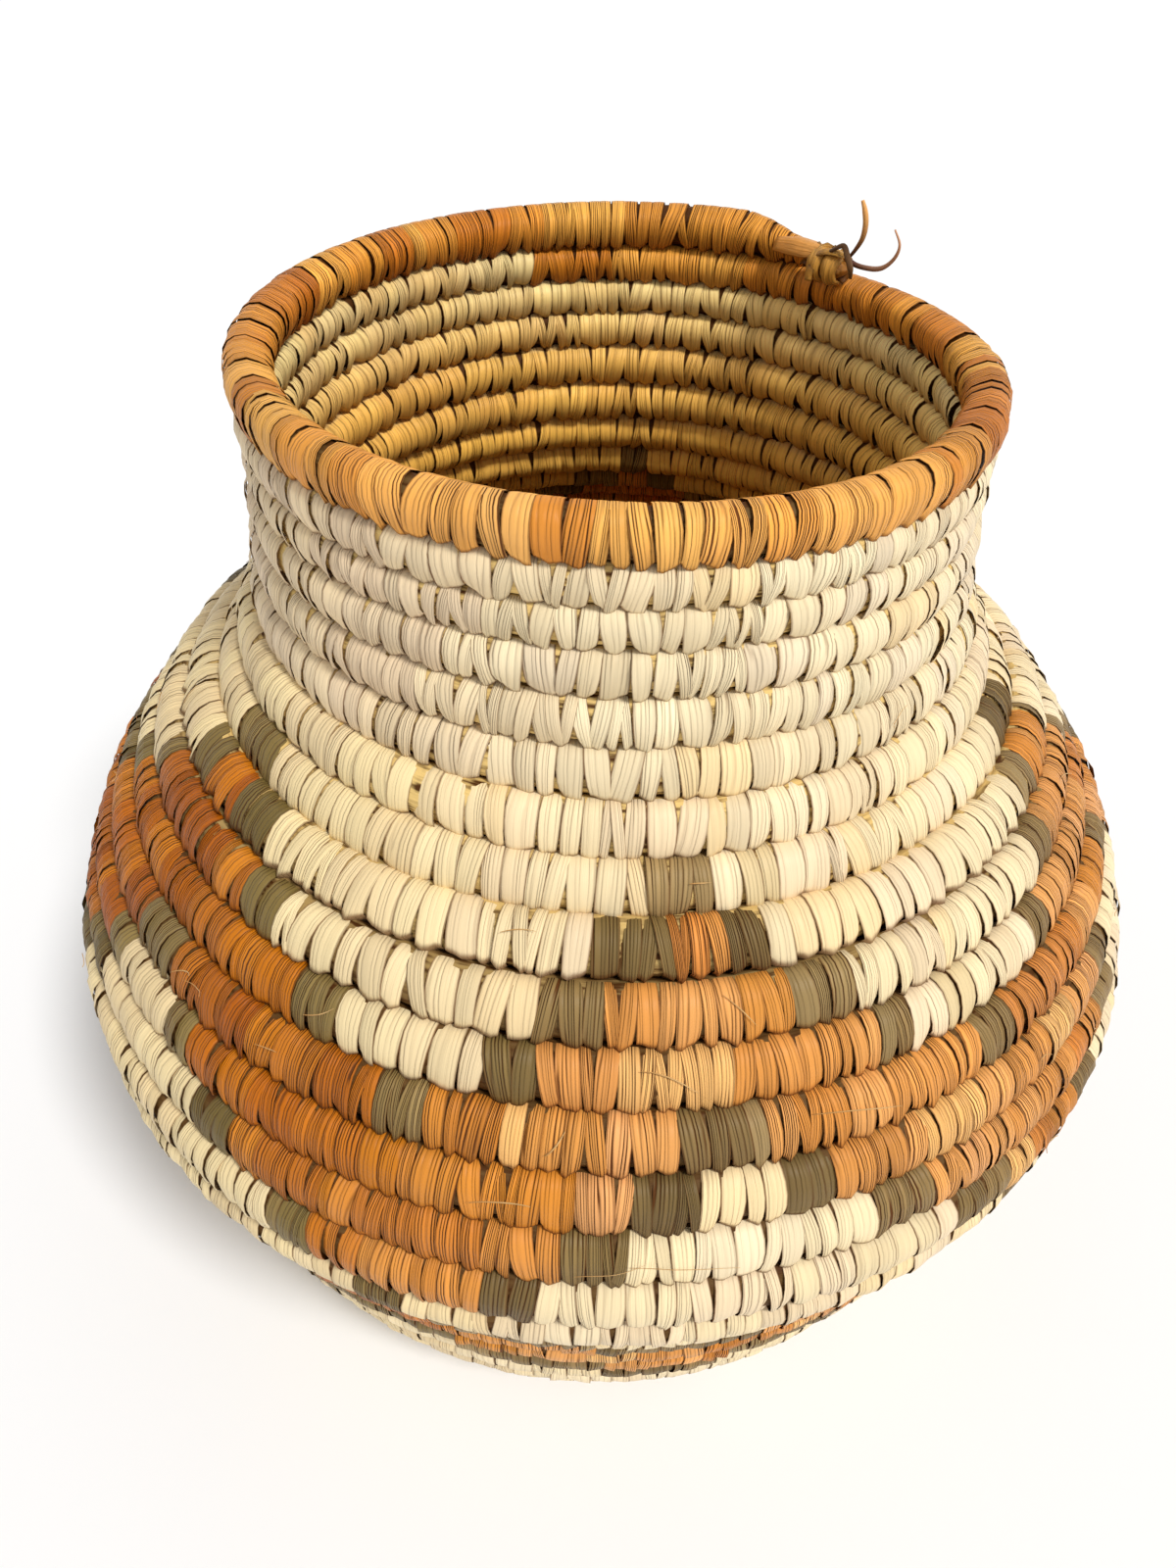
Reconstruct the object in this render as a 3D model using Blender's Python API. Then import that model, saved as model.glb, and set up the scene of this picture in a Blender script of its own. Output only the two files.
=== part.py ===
"""Coiled basket jar with a wide belly, a straight neck and a bound rim.

One long bundle of grass, wrapped with strips of palm leaf, is wound in a
spiral from the middle of the base up to the rim, and each turn is seated on
the turn before it. Every turn is its own solid here, cut across at the seam
where the rim ends. Lengths are in metres, +Z is up, the middle of the base
stands at the origin and the seam faces the back right.
"""

import math

import bmesh
import bpy
from mathutils import Vector

# The turns of the coil from the rim down, by the part of the jar: name, how many
REGIONS = (
    ("rim_coil", 1),
    ("neck_coil", 4),
    ("shoulder_coil", 6),
    ("belly_coil", 4),
    ("lower_coil", 9),
    ("base_coil", 8),
    ("base_start", 1),
)

# The wrapped coil: thickness across the wall on the base, the rim's own height, gap at each seat
COIL_THICKNESS = 0.0123
RIM_COIL_HEIGHT = 0.0103
RIM_TIP_HEIGHT = 0.0052
SEAT_GAP = 0.0003

# How thick the coil is from the rim down to the foot: turn, share of its size on the base
SIZE_CHANGES = (
    (0.0, 0.747),
    (2.5, 0.714),
    (4.0, 0.887),
    (6.0, 0.995),
    (8.0, 1.040),
    (11.0, 1.064),
    (14.0, 1.077),
    (17.0, 1.065),
    (21.0, 1.044),
)

# Where the coil ends, and how it swells and tapers before that, in degrees
RIM_END_AZIMUTH = 50.0
RIM_SWELL_ANGLE = 80.0
RIM_TAPER_ANGLE = 16.0

# The jar's main sizes: its height to the top of the rim, and the radius of the belly's coil
JAR_HEIGHT = 0.2802
BELLY_RADIUS = 0.1455

# The outline of the wall: radius and height of the coil's middle, and its lean outward
RIM_RADIUS = 0.5526 * BELLY_RADIUS
RIM_HEIGHT = JAR_HEIGHT - RIM_COIL_HEIGHT / 2
RIM_LEAN = 2.2
NECK_RADIUS = 0.5684 * BELLY_RADIUS
NECK_HEIGHT = 0.7948 * JAR_HEIGHT
NECK_LEAN = 9.0
COLLAR_RADIUS = 0.6082 * BELLY_RADIUS
COLLAR_HEIGHT = 0.7455 * JAR_HEIGHT
COLLAR_LEAN = 23.4
SHOULDER_RADIUS = 0.7024 * BELLY_RADIUS
SHOULDER_HEIGHT = 0.6842 * JAR_HEIGHT
SHOULDER_LEAN = 59.4
SLOPE_RADIUS = 0.8674 * BELLY_RADIUS
SLOPE_HEIGHT = 0.5849 * JAR_HEIGHT
SLOPE_LEAN = 39.0
RISE_RADIUS = 0.9601 * BELLY_RADIUS
RISE_HEIGHT = 0.4996 * JAR_HEIGHT
RISE_LEAN = 20.6
BELLY_HEIGHT = 0.4094 * JAR_HEIGHT
BELLY_LEAN = -7.0
TUCK_RADIUS = 0.9450 * BELLY_RADIUS
TUCK_HEIGHT = 0.3194 * JAR_HEIGHT
TUCK_LEAN = -13.0
FOOT_RADIUS = 0.8522 * BELLY_RADIUS
FOOT_HEIGHT = 0.1217 * JAR_HEIGHT
FOOT_LEAN = -14.0
BASE_RADIUS = 0.6570 * BELLY_RADIUS
BASE_LEAN = -90.0

# The hole left in the middle of the base, where the coil starts
START_BORE_RADIUS = 0.0004

# How finely the turns and the outline are faceted
WALL_STATIONS = 28
CENTRE_STATIONS = 14
CENTRE_TURNS = 5
OUTLINE_STEPS = 48
HALF_FACET_ANGLE = 22.5
FLAT_SHARE = math.tan(math.radians(HALF_FACET_ANGLE))
SHARP_EDGE_ANGLE = 30.0

# The stepped zigzag: azimuths of its peaks in degrees, and its rows of turns from the rim
PEAK_AZIMUTHS = (32.8, 85.5, 148.7, 212.0, 278.5, 340.0)
PEAK_ROW = 7
ZIGZAG_ROWS = 4
BAND_ROWS = 4
OUTLINE_ROWS = 0.9
RIM_COLOUR_START = 100.0
LOWER_BAND_ROW = 15
LOWER_BAND_DEPTH = 2
LOWER_BAND_ROWS = 3
LOWER_OUTLINE_ROWS = 0.5

# The knot that holds the rim's end, and the dark strip bound round it
KNOT_LENGTH = 0.0125
KNOT_RADIUS = 0.0043
KNOT_TILT = 40.0
KNOT_AHEAD = 0.0018
KNOT_RINGS = 7
KNOT_SIDES = 12
TIE_WIDTH = 0.0022
TIE_THICKNESS = 0.0007
TIE_PLACE = 0.80
TIE_SWEEP = 230.0
TIE_STEPS = 12

# The two loose ends of palm strip
TAIL_RADIUS = 0.0006
TAIL_TIP_SHARE = 0.45
TAIL_POINTS = 9
LONG_TAIL_RISE = 0.0138
LONG_TAIL_SWAY = 0.0070
LONG_TAIL_TURN = 132.0
SHORT_TAIL_ANGLE = -22.0
SHORT_TAIL_CURL_RADIUS = 0.0054
SHORT_TAIL_CURL_AHEAD = 0.0126
SHORT_TAIL_CURL_RISE = 0.0060
SHORT_TAIL_FROM = 250.0
SHORT_TAIL_TO = 420.0

# Colours, roughness
CREAM = ("cream_palm", (0.72, 0.62, 0.44), 0.62)
RUST = ("rust_palm", (0.50, 0.21, 0.06), 0.58)
OLIVE = ("olive_palm", (0.19, 0.16, 0.09), 0.62)
GOLD = ("gold_straw", (0.55, 0.34, 0.09), 0.50)
DARK = ("dark_palm", (0.10, 0.055, 0.02), 0.55)
PALETTE = (CREAM, RUST, OLIVE)


def clear_scene():
    """Remove whatever the open file holds."""
    for item in list(bpy.data.objects):
        bpy.data.objects.remove(item, do_unlink=True)


def palm_material(recipe):
    """Make a plain material from a name, a colour and a roughness."""
    name, colour, roughness = recipe
    material = bpy.data.materials.get(name) or bpy.data.materials.new(name)
    material.use_nodes = True
    material.diffuse_color = (*colour, 1.0)
    shader = material.node_tree.nodes["Principled BSDF"]
    shader.inputs["Base Color"].default_value = (*colour, 1.0)
    shader.inputs["Roughness"].default_value = roughness
    shader.inputs["Metallic"].default_value = 0.0
    return material


def smooth_step(value):
    """Ease a value between 0 and 1."""
    value = min(max(value, 0.0), 1.0)
    return value * value * (3.0 - 2.0 * value)


class Outline:
    """The line that the coil's middle follows, from the rim down to the middle of the base."""

    def __init__(self):
        base_height = COIL_THICKNESS / 2
        knots = (
            (RIM_RADIUS, RIM_HEIGHT, RIM_LEAN),
            (NECK_RADIUS, NECK_HEIGHT, NECK_LEAN),
            (COLLAR_RADIUS, COLLAR_HEIGHT, COLLAR_LEAN),
            (SHOULDER_RADIUS, SHOULDER_HEIGHT, SHOULDER_LEAN),
            (SLOPE_RADIUS, SLOPE_HEIGHT, SLOPE_LEAN),
            (RISE_RADIUS, RISE_HEIGHT, RISE_LEAN),
            (BELLY_RADIUS, BELLY_HEIGHT, BELLY_LEAN),
            (TUCK_RADIUS, TUCK_HEIGHT, TUCK_LEAN),
            (FOOT_RADIUS, FOOT_HEIGHT, FOOT_LEAN),
            (BASE_RADIUS, base_height, BASE_LEAN),
        )
        self.points = []
        for upper, lower in zip(knots[:-1], knots[1:]):
            self.points.extend(self.span(upper, lower))
        self.points.append(Vector((BASE_RADIUS, base_height)))
        self.points.append(Vector((0.0, base_height)))
        self.distances = [0.0]
        for before, after in zip(self.points[:-1], self.points[1:]):
            self.distances.append(self.distances[-1] + (after - before).length)
        self.length = self.distances[-1]

    @staticmethod
    def span(upper, lower):
        """Points of one smooth span between two knots that keep their leans."""
        start, end = Vector(upper[:2]), Vector(lower[:2])
        reach = (end - start).length
        leave, arrive = math.radians(upper[2]), math.radians(lower[2])
        pull_out = Vector((math.sin(leave), -math.cos(leave))) * reach
        pull_in = Vector((math.sin(arrive), -math.cos(arrive))) * reach
        points = []
        for step in range(OUTLINE_STEPS):
            s = step / OUTLINE_STEPS
            place = start * (2 * s**3 - 3 * s**2 + 1) + end * (3 * s**2 - 2 * s**3)
            points.append(place + pull_out * (s**3 - 2 * s**2 + s) + pull_in * (s**3 - s**2))
        return points

    def at(self, distance):
        """The point at a distance along the line, carried on straight past both ends."""
        index = 0
        if distance > 0.0:
            index = self.index_of(distance)
        before, after = self.points[index], self.points[index + 1]
        start, end = self.distances[index], self.distances[index + 1]
        return before.lerp(after, (distance - start) / (end - start))

    def index_of(self, distance):
        """The stretch of the line that holds a distance."""
        low, high = 0, len(self.points) - 2
        while low < high:
            middle = (low + high + 1) // 2
            if self.distances[middle] <= distance:
                low = middle
            else:
                high = middle - 1
        return low


class Coil:
    """The wrapped bundle's places, sizes and sections, by turns counted down from the rim's end."""

    def __init__(self, outline):
        self.outline = outline
        self.turns = sum(count for _, count in REGIONS)
        self.foot_turn = SIZE_CHANGES[-1][0]
        spans = [0.0]
        for (turn, share), (next_turn, next_share) in zip(SIZE_CHANGES[:-1], SIZE_CHANGES[1:]):
            spans.append(spans[-1] + (share + next_share) / 2 * (next_turn - turn))
        self.base_pitch = outline.length / (spans[-1] + self.turns - self.foot_turn)
        self.reaches = [self.base_pitch * span for span in spans]

    def pitch(self, turn):
        """The distance along the wall from a turn to the next, where the coil has its plain size."""
        if turn >= self.foot_turn:
            return self.base_pitch
        if turn <= 0.0:
            return self.base_pitch * SIZE_CHANGES[0][1]
        index = self.change_before(turn)
        (start, share), (end, next_share) = SIZE_CHANGES[index : index + 2]
        return self.base_pitch * (share + (next_share - share) * (turn - start) / (end - start))

    def reach(self, turn):
        """The distance along the outline from the rim's end down to a turn."""
        if turn >= self.foot_turn:
            return self.reaches[-1] + (turn - self.foot_turn) * self.base_pitch
        if turn <= 0.0:
            return turn * self.pitch(turn)
        index = self.change_before(turn)
        start = SIZE_CHANGES[index][0]
        return self.reaches[index] + (self.pitch(start) + self.pitch(turn)) / 2 * (turn - start)

    @staticmethod
    def change_before(turn):
        """The last size change at or above a turn."""
        return max(index for index, (start, _) in enumerate(SIZE_CHANGES) if start <= turn)

    def height(self, turn):
        """The coil's thickness along the wall: swollen in the rim and thin at the rim's tip."""
        pitch = self.pitch(turn)
        swell = smooth_step((1.0 - turn) * 360.0 / RIM_SWELL_ANGLE)
        height = pitch + (RIM_COIL_HEIGHT - pitch) * swell
        taper = smooth_step(turn * 360.0 / RIM_TAPER_ANGLE)
        return RIM_TIP_HEIGHT + (height - RIM_TIP_HEIGHT) * taper if turn < 1.0 else height

    def girth(self, turn):
        """The coil's thickness across the wall."""
        return COIL_THICKNESS / self.base_pitch * self.height(turn)

    def middle(self, turn):
        """Radius and height of the coil's middle, a thinner or thicker rim still on its seat."""
        drop = (self.pitch(turn) - self.height(turn)) / 2 if turn < 1.0 else 0.0
        return self.outline.at(self.reach(turn) + drop)

    def azimuth(self, turn):
        """The compass angle of a place on the coil."""
        return math.radians(RIM_END_AZIMUTH) + 2 * math.pi * turn

    def section(self, turn, first):
        """Eight corners, in radius and height, of the turn that starts at first.

        They are a seat flat above and below, and an outer and an inner flat. What would reach
        below the floor is pressed flat on it.
        """
        here = self.middle(turn)
        above, below = self.middle(turn - 1.0), self.middle(turn + 1.0)
        along = (below - above).normalized()
        if first == 0:
            along = (below - here).normalized()
            above = here - along * self.height(turn)
        outward = Vector((-along.y, along.x))
        upper = self.seat(turn, here, above, turn - 1.0 if first > 0 else turn, outward)
        lower = self.seat(turn, here, below, turn + 1.0, outward)
        side = self.girth(turn) / 2
        flat = self.height(turn) / 2 * FLAT_SHARE
        corners = [upper[1], upper[0]]
        corners += [here + outward * side - along * flat, here + outward * side + along * flat]
        corners += [lower[0], lower[1]]
        corners += [here - outward * side + along * flat, here - outward * side - along * flat]
        if first == self.turns - 1:
            corners[4].x = corners[5].x = START_BORE_RADIUS
            corners[3].x = min(corners[3].x, START_BORE_RADIUS + flat)
            corners[6].x = min(corners[6].x, START_BORE_RADIUS + flat)
        return [Vector((max(corner.x, START_BORE_RADIUS), max(corner.y, 0.0))) for corner in corners]

    def seat(self, turn, here, other, other_turn, outward):
        """Outer and inner edge of the flat that meets the next turn, half a seat gap short of it."""
        towards = other - here
        own, next_size = self.height(turn), self.height(other_turn)
        reach = towards.length * own / (own + next_size) - SEAT_GAP / 2
        towards.normalize()
        across = Vector((-towards.y, towards.x))
        if across.dot(outward) < 0.0:
            across = -across
        half = min(self.girth(turn), self.girth(other_turn)) / 2 * FLAT_SHARE
        foot = here + towards * reach
        return foot + across * half, foot - across * half

    def stations(self, first):
        """How many steps a turn is swept in."""
        return CENTRE_STATIONS if first >= self.turns - CENTRE_TURNS else WALL_STATIONS


def turn_mesh(coil, first):
    """Sweep one turn of the coil into a closed mesh, with its ends half a seat gap short of the seam."""
    mesh = bpy.data.meshes.new("turn")
    work = bmesh.new()
    steps = coil.stations(first)
    rings = []
    for step in range(steps + 1):
        turn = first + step / steps
        azimuth = coil.azimuth(turn)
        radial = Vector((math.cos(azimuth), math.sin(azimuth), 0.0))
        onward = Vector((-radial.y, radial.x, 0.0))
        shift = onward * (SEAT_GAP / 2 * ((step == 0) - (step == steps)))
        corners = coil.section(turn, first)
        rings.append([work.verts.new(radial * c.x + Vector((0, 0, c.y)) + shift) for c in corners])
    for step, (ring, following) in enumerate(zip(rings[:-1], rings[1:])):
        colour = block_colour(first, math.degrees(coil.azimuth(first + (step + 0.5) / steps)))
        for index in range(len(ring)):
            after = (index + 1) % len(ring)
            face = work.faces.new((ring[index], ring[after], following[after], following[index]))
            face.material_index = PALETTE.index(colour)
    for ring in (rings[0], rings[-1]):
        cap = work.faces.new(ring)
        cap.material_index = PALETTE.index(block_colour(first, RIM_END_AZIMUTH))
    bmesh.ops.recalc_face_normals(work, faces=work.faces)
    work.to_mesh(mesh)
    work.free()
    return mesh


def peak_share(azimuth):
    """How far an azimuth lies from the nearest peak, from 0 on the peak to 1 at the valley."""
    angle = azimuth % 360.0
    ring = [PEAK_AZIMUTHS[-1] - 360.0, *PEAK_AZIMUTHS, PEAK_AZIMUTHS[0] + 360.0]
    for before, after in zip(ring[:-1], ring[1:]):
        if before <= angle <= after:
            return 1.0 - abs(2.0 * (angle - before) / (after - before) - 1.0)
    return 0.0


def block_colour(row, azimuth):
    """Colour of the wrapping on a turn, by the stepped zigzag, the lower band and the rim."""
    under_rim_end = row == 1 and RIM_END_AZIMUTH <= azimuth % 360.0 < RIM_COLOUR_START
    if row == 0 or under_rim_end:
        return RUST
    share = peak_share(azimuth)
    upper = PEAK_ROW + ZIGZAG_ROWS * share
    lower = upper + BAND_ROWS
    top = LOWER_BAND_ROW + LOWER_BAND_DEPTH * (1.0 - share)
    bottom = top + LOWER_BAND_ROWS
    if min(abs(row - upper), abs(row - lower)) < OUTLINE_ROWS:
        return OLIVE
    if upper < row < lower:
        return RUST
    if row > lower and min(abs(row - top), abs(row - bottom)) < LOWER_OUTLINE_ROWS:
        return OLIVE
    if row > lower and top < row < bottom:
        return RUST
    return CREAM


def turn_names():
    """Name each turn by the part of the jar that it belongs to, numbered from the rim down."""
    names = []
    for region, count in REGIONS:
        names += [region] if count == 1 else [f"{region}_{number:02d}" for number in range(1, count + 1)]
    return names


def add_object(name, data, materials):
    """Link a mesh or curve as a named object with its materials."""
    item = bpy.data.objects.new(name, data)
    for recipe in materials:
        data.materials.append(palm_material(recipe))
    bpy.context.scene.collection.objects.link(item)
    return item


def add_turns(coil):
    """Add every turn of the coil, from the rim down to the start in the middle of the base."""
    for first, name in enumerate(turn_names()):
        mesh = turn_mesh(coil, first)
        add_object(name, mesh, PALETTE)
        mesh.shade_smooth()
        mesh.set_sharp_from_angle(angle=math.radians(SHARP_EDGE_ANGLE))


class RimEnd:
    """Directions and places at the rim's end, where the knot lies on the turn below."""

    def __init__(self, coil):
        ahead = math.degrees((KNOT_LENGTH / 2 + KNOT_AHEAD) / coil.middle(1.0).x)
        turn = 1.0 - ahead / 360.0
        azimuth = coil.azimuth(turn)
        middle = coil.middle(turn)
        self.radial = Vector((math.cos(azimuth), math.sin(azimuth), 0.0))
        self.onward = Vector((self.radial.y, -self.radial.x, 0.0))
        self.up = Vector((0.0, 0.0, 1.0))
        tilt = math.radians(KNOT_TILT)
        self.away = self.up * math.cos(tilt) - self.radial * math.sin(tilt)
        self.side = self.away.cross(self.onward)
        corner = coil.girth(turn) / 2 / math.cos(math.radians(HALF_FACET_ANGLE))
        coil_middle = self.radial * middle.x + self.up * middle.y
        self.knot_middle = coil_middle + self.away * (corner + KNOT_RADIUS + SEAT_GAP)

    def knot_radius(self, place):
        """The knot's radius at a place along it, from -1 at one end to 1 at the other."""
        return KNOT_RADIUS * math.sqrt(max(1.0 - place * place, 0.0))

    def on_knot(self, place, angle, clear):
        """A point round the knot, at an angle from its far side and clear of its surface."""
        round_dir = self.away * math.cos(angle) + self.side * math.sin(angle)
        middle = self.knot_middle + self.onward * (place * KNOT_LENGTH / 2)
        return middle + round_dir * (self.knot_radius(place) + clear)


def add_knot(end):
    """The bundle's end, folded into a small round knot."""
    mesh = bpy.data.meshes.new("rim_end_knot")
    work = bmesh.new()
    tips = [work.verts.new(end.on_knot(place, 0.0, 0.0)) for place in (-1.0, 1.0)]
    rings = []
    for ring in range(1, KNOT_RINGS + 1):
        place = -math.cos(math.pi * ring / (KNOT_RINGS + 1))
        angles = [2 * math.pi * side / KNOT_SIDES for side in range(KNOT_SIDES)]
        rings.append([work.verts.new(end.on_knot(place, angle, 0.0)) for angle in angles])
    for ring, following in zip(rings[:-1], rings[1:]):
        for index in range(KNOT_SIDES):
            after = (index + 1) % KNOT_SIDES
            work.faces.new((ring[index], ring[after], following[after], following[index]))
    for tip, ring in zip(tips, (rings[0], rings[-1])):
        for index in range(KNOT_SIDES):
            work.faces.new((tip, ring[index], ring[(index + 1) % KNOT_SIDES]))
    bmesh.ops.recalc_face_normals(work, faces=work.faces)
    work.to_mesh(mesh)
    work.free()
    add_object("rim_end_knot", mesh, (GOLD,))
    mesh.shade_smooth()


def add_tie(end):
    """The dark strip bound over the knot, open on the side that lies on the coil."""
    mesh = bpy.data.meshes.new("tie_strip")
    work = bmesh.new()
    half_width = TIE_WIDTH / KNOT_LENGTH
    near, far = TIE_PLACE - half_width, TIE_PLACE + half_width
    clear = end.knot_radius(near) - end.knot_radius(TIE_PLACE) + SEAT_GAP
    rings = []
    for step in range(TIE_STEPS + 1):
        angle = math.radians(TIE_SWEEP) * (step / TIE_STEPS - 0.5)
        ring = []
        for place, rise in ((near, 0.0), (far, 0.0), (far, TIE_THICKNESS), (near, TIE_THICKNESS)):
            level = end.knot_radius(TIE_PLACE) - end.knot_radius(place)
            ring.append(work.verts.new(end.on_knot(place, angle, level + clear + rise)))
        rings.append(ring)
    for ring, following in zip(rings[:-1], rings[1:]):
        for index in range(4):
            after = (index + 1) % 4
            work.faces.new((ring[index], ring[after], following[after], following[index]))
    work.faces.new(rings[0])
    work.faces.new(rings[-1])
    bmesh.ops.recalc_face_normals(work, faces=work.faces)
    work.to_mesh(mesh)
    work.free()
    add_object("tie_strip", mesh, (DARK,))


def add_tail(name, points):
    """A loose strip end: a thin tapering tube through the points."""
    curve = bpy.data.curves.new(name, "CURVE")
    curve.dimensions = "3D"
    curve.bevel_depth = TAIL_RADIUS
    curve.bevel_resolution = 2
    curve.use_fill_caps = True
    spline = curve.splines.new("POLY")
    spline.points.add(len(points) - 1)
    for index, (slot, point) in enumerate(zip(spline.points, points)):
        slot.co = (*point, 1.0)
        slot.radius = 1.0 + (TAIL_TIP_SHARE - 1.0) * index / (len(points) - 1)
    add_object(name, curve, (RUST,))


def add_tails(end):
    """The long end stands up with a slight sway, and the short one runs on and curls up."""
    clear = TAIL_RADIUS + TIE_THICKNESS + 2 * SEAT_GAP
    clear += end.knot_radius(TIE_PLACE - TIE_WIDTH / KNOT_LENGTH) - end.knot_radius(TIE_PLACE)
    root = end.on_knot(TIE_PLACE, 0.0, clear)
    long_points = []
    for index in range(TAIL_POINTS):
        s = index / (TAIL_POINTS - 1)
        sway = LONG_TAIL_SWAY * math.sin(math.radians(LONG_TAIL_TURN) * s)
        long_points.append(root + end.up * (LONG_TAIL_RISE * s) + end.onward * sway)
    add_tail("tail_long", long_points)
    short_root = end.on_knot(TIE_PLACE, math.radians(SHORT_TAIL_ANGLE), clear)
    curl_middle = short_root + end.onward * SHORT_TAIL_CURL_AHEAD + end.up * SHORT_TAIL_CURL_RISE
    short_points = [short_root]
    for index in range(TAIL_POINTS - 1):
        share = index / (TAIL_POINTS - 2)
        angle = math.radians(SHORT_TAIL_FROM + (SHORT_TAIL_TO - SHORT_TAIL_FROM) * share)
        direction = end.onward * math.cos(angle) + end.up * math.sin(angle)
        short_points.append(curl_middle + direction * SHORT_TAIL_CURL_RADIUS)
    add_tail("tail_short", short_points)


def main():
    """Build the basket."""
    clear_scene()
    coil = Coil(Outline())
    add_turns(coil)
    end = RimEnd(coil)
    add_knot(end)
    add_tie(end)
    add_tails(end)


main()
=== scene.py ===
import logging
import math
import random
from dataclasses import dataclass, field
from enum import Enum

import bpy
import numpy as np
from mathutils import Matrix, Vector


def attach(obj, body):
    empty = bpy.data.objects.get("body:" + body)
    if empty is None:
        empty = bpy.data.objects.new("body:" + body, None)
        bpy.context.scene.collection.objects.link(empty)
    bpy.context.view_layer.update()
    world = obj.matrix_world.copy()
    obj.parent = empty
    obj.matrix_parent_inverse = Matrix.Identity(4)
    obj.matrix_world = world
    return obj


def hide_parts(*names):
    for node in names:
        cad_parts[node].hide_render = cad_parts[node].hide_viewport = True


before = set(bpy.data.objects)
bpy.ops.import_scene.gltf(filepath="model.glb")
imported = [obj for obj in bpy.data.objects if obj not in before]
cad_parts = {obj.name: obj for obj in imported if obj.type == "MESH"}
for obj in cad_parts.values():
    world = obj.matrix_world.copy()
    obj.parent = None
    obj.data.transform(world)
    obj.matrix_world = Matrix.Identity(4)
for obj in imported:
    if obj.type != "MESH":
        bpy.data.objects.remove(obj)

logging.basicConfig(level=logging.INFO, format="%(message)s")
log = logging.getLogger("basket")

Colour = tuple[float, float, float]
Parts = tuple[list, list, list]


def linear(colour: Colour) -> tuple[float, float, float, float]:
    """Turn a colour as seen, in 0 to 255, into the linear values that a shader takes.

    Args:
        colour: Red, green and blue as a picture shows them.

    Returns:
        Linear red, green and blue, with an alpha of one.
    """
    parts = [c / 255.0 for c in colour]
    return (*(p / 12.92 if p <= 0.04045 else ((p + 0.055) / 1.055) ** 2.4 for p in parts), 1.0)


def smooth_step(value: float) -> float:
    """Ease a value between 0 and 1."""
    value = min(max(value, 0.0), 1.0)
    return value * value * (3.0 - 2.0 * value)


def placed(name: str, data: bpy.types.ID) -> bpy.types.Object:
    """Add an object that holds this mesh, lamp or camera to the scene."""
    thing = bpy.data.objects.new(name, data)
    bpy.context.scene.collection.objects.link(thing)
    return thing


@dataclass(frozen=True)
class Term:
    """One output of a node, with arithmetic that adds Math nodes to its tree."""

    desk: "NodeDesk"
    socket: bpy.types.NodeSocket

    def __add__(self, other: "Term | float") -> "Term":
        """Add."""
        return self.desk.math("ADD", self, other)

    def __radd__(self, other: float) -> "Term":
        """Add, with the number first."""
        return self.desk.math("ADD", other, self)

    def __sub__(self, other: "Term | float") -> "Term":
        """Subtract."""
        return self.desk.math("SUBTRACT", self, other)

    def __rsub__(self, other: float) -> "Term":
        """Subtract from a number."""
        return self.desk.math("SUBTRACT", other, self)

    def __mul__(self, other: "Term | float") -> "Term":
        """Multiply."""
        return self.desk.math("MULTIPLY", self, other)

    def __rmul__(self, other: float) -> "Term":
        """Multiply, with the number first."""
        return self.desk.math("MULTIPLY", other, self)

    def __truediv__(self, other: "Term | float") -> "Term":
        """Divide."""
        return self.desk.math("DIVIDE", self, other)

    def __rtruediv__(self, other: float) -> "Term":
        """Divide a number by this."""
        return self.desk.math("DIVIDE", other, self)

    def __pow__(self, other: "Term | float") -> "Term":
        """Raise to a power."""
        return self.desk.math("POWER", self, other)

    def __rpow__(self, other: float) -> "Term":
        """Raise a number to this power."""
        return self.desk.math("POWER", other, self)

    def __neg__(self) -> "Term":
        """Change the sign."""
        return self.desk.math("MULTIPLY", self, -1.0)


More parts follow.
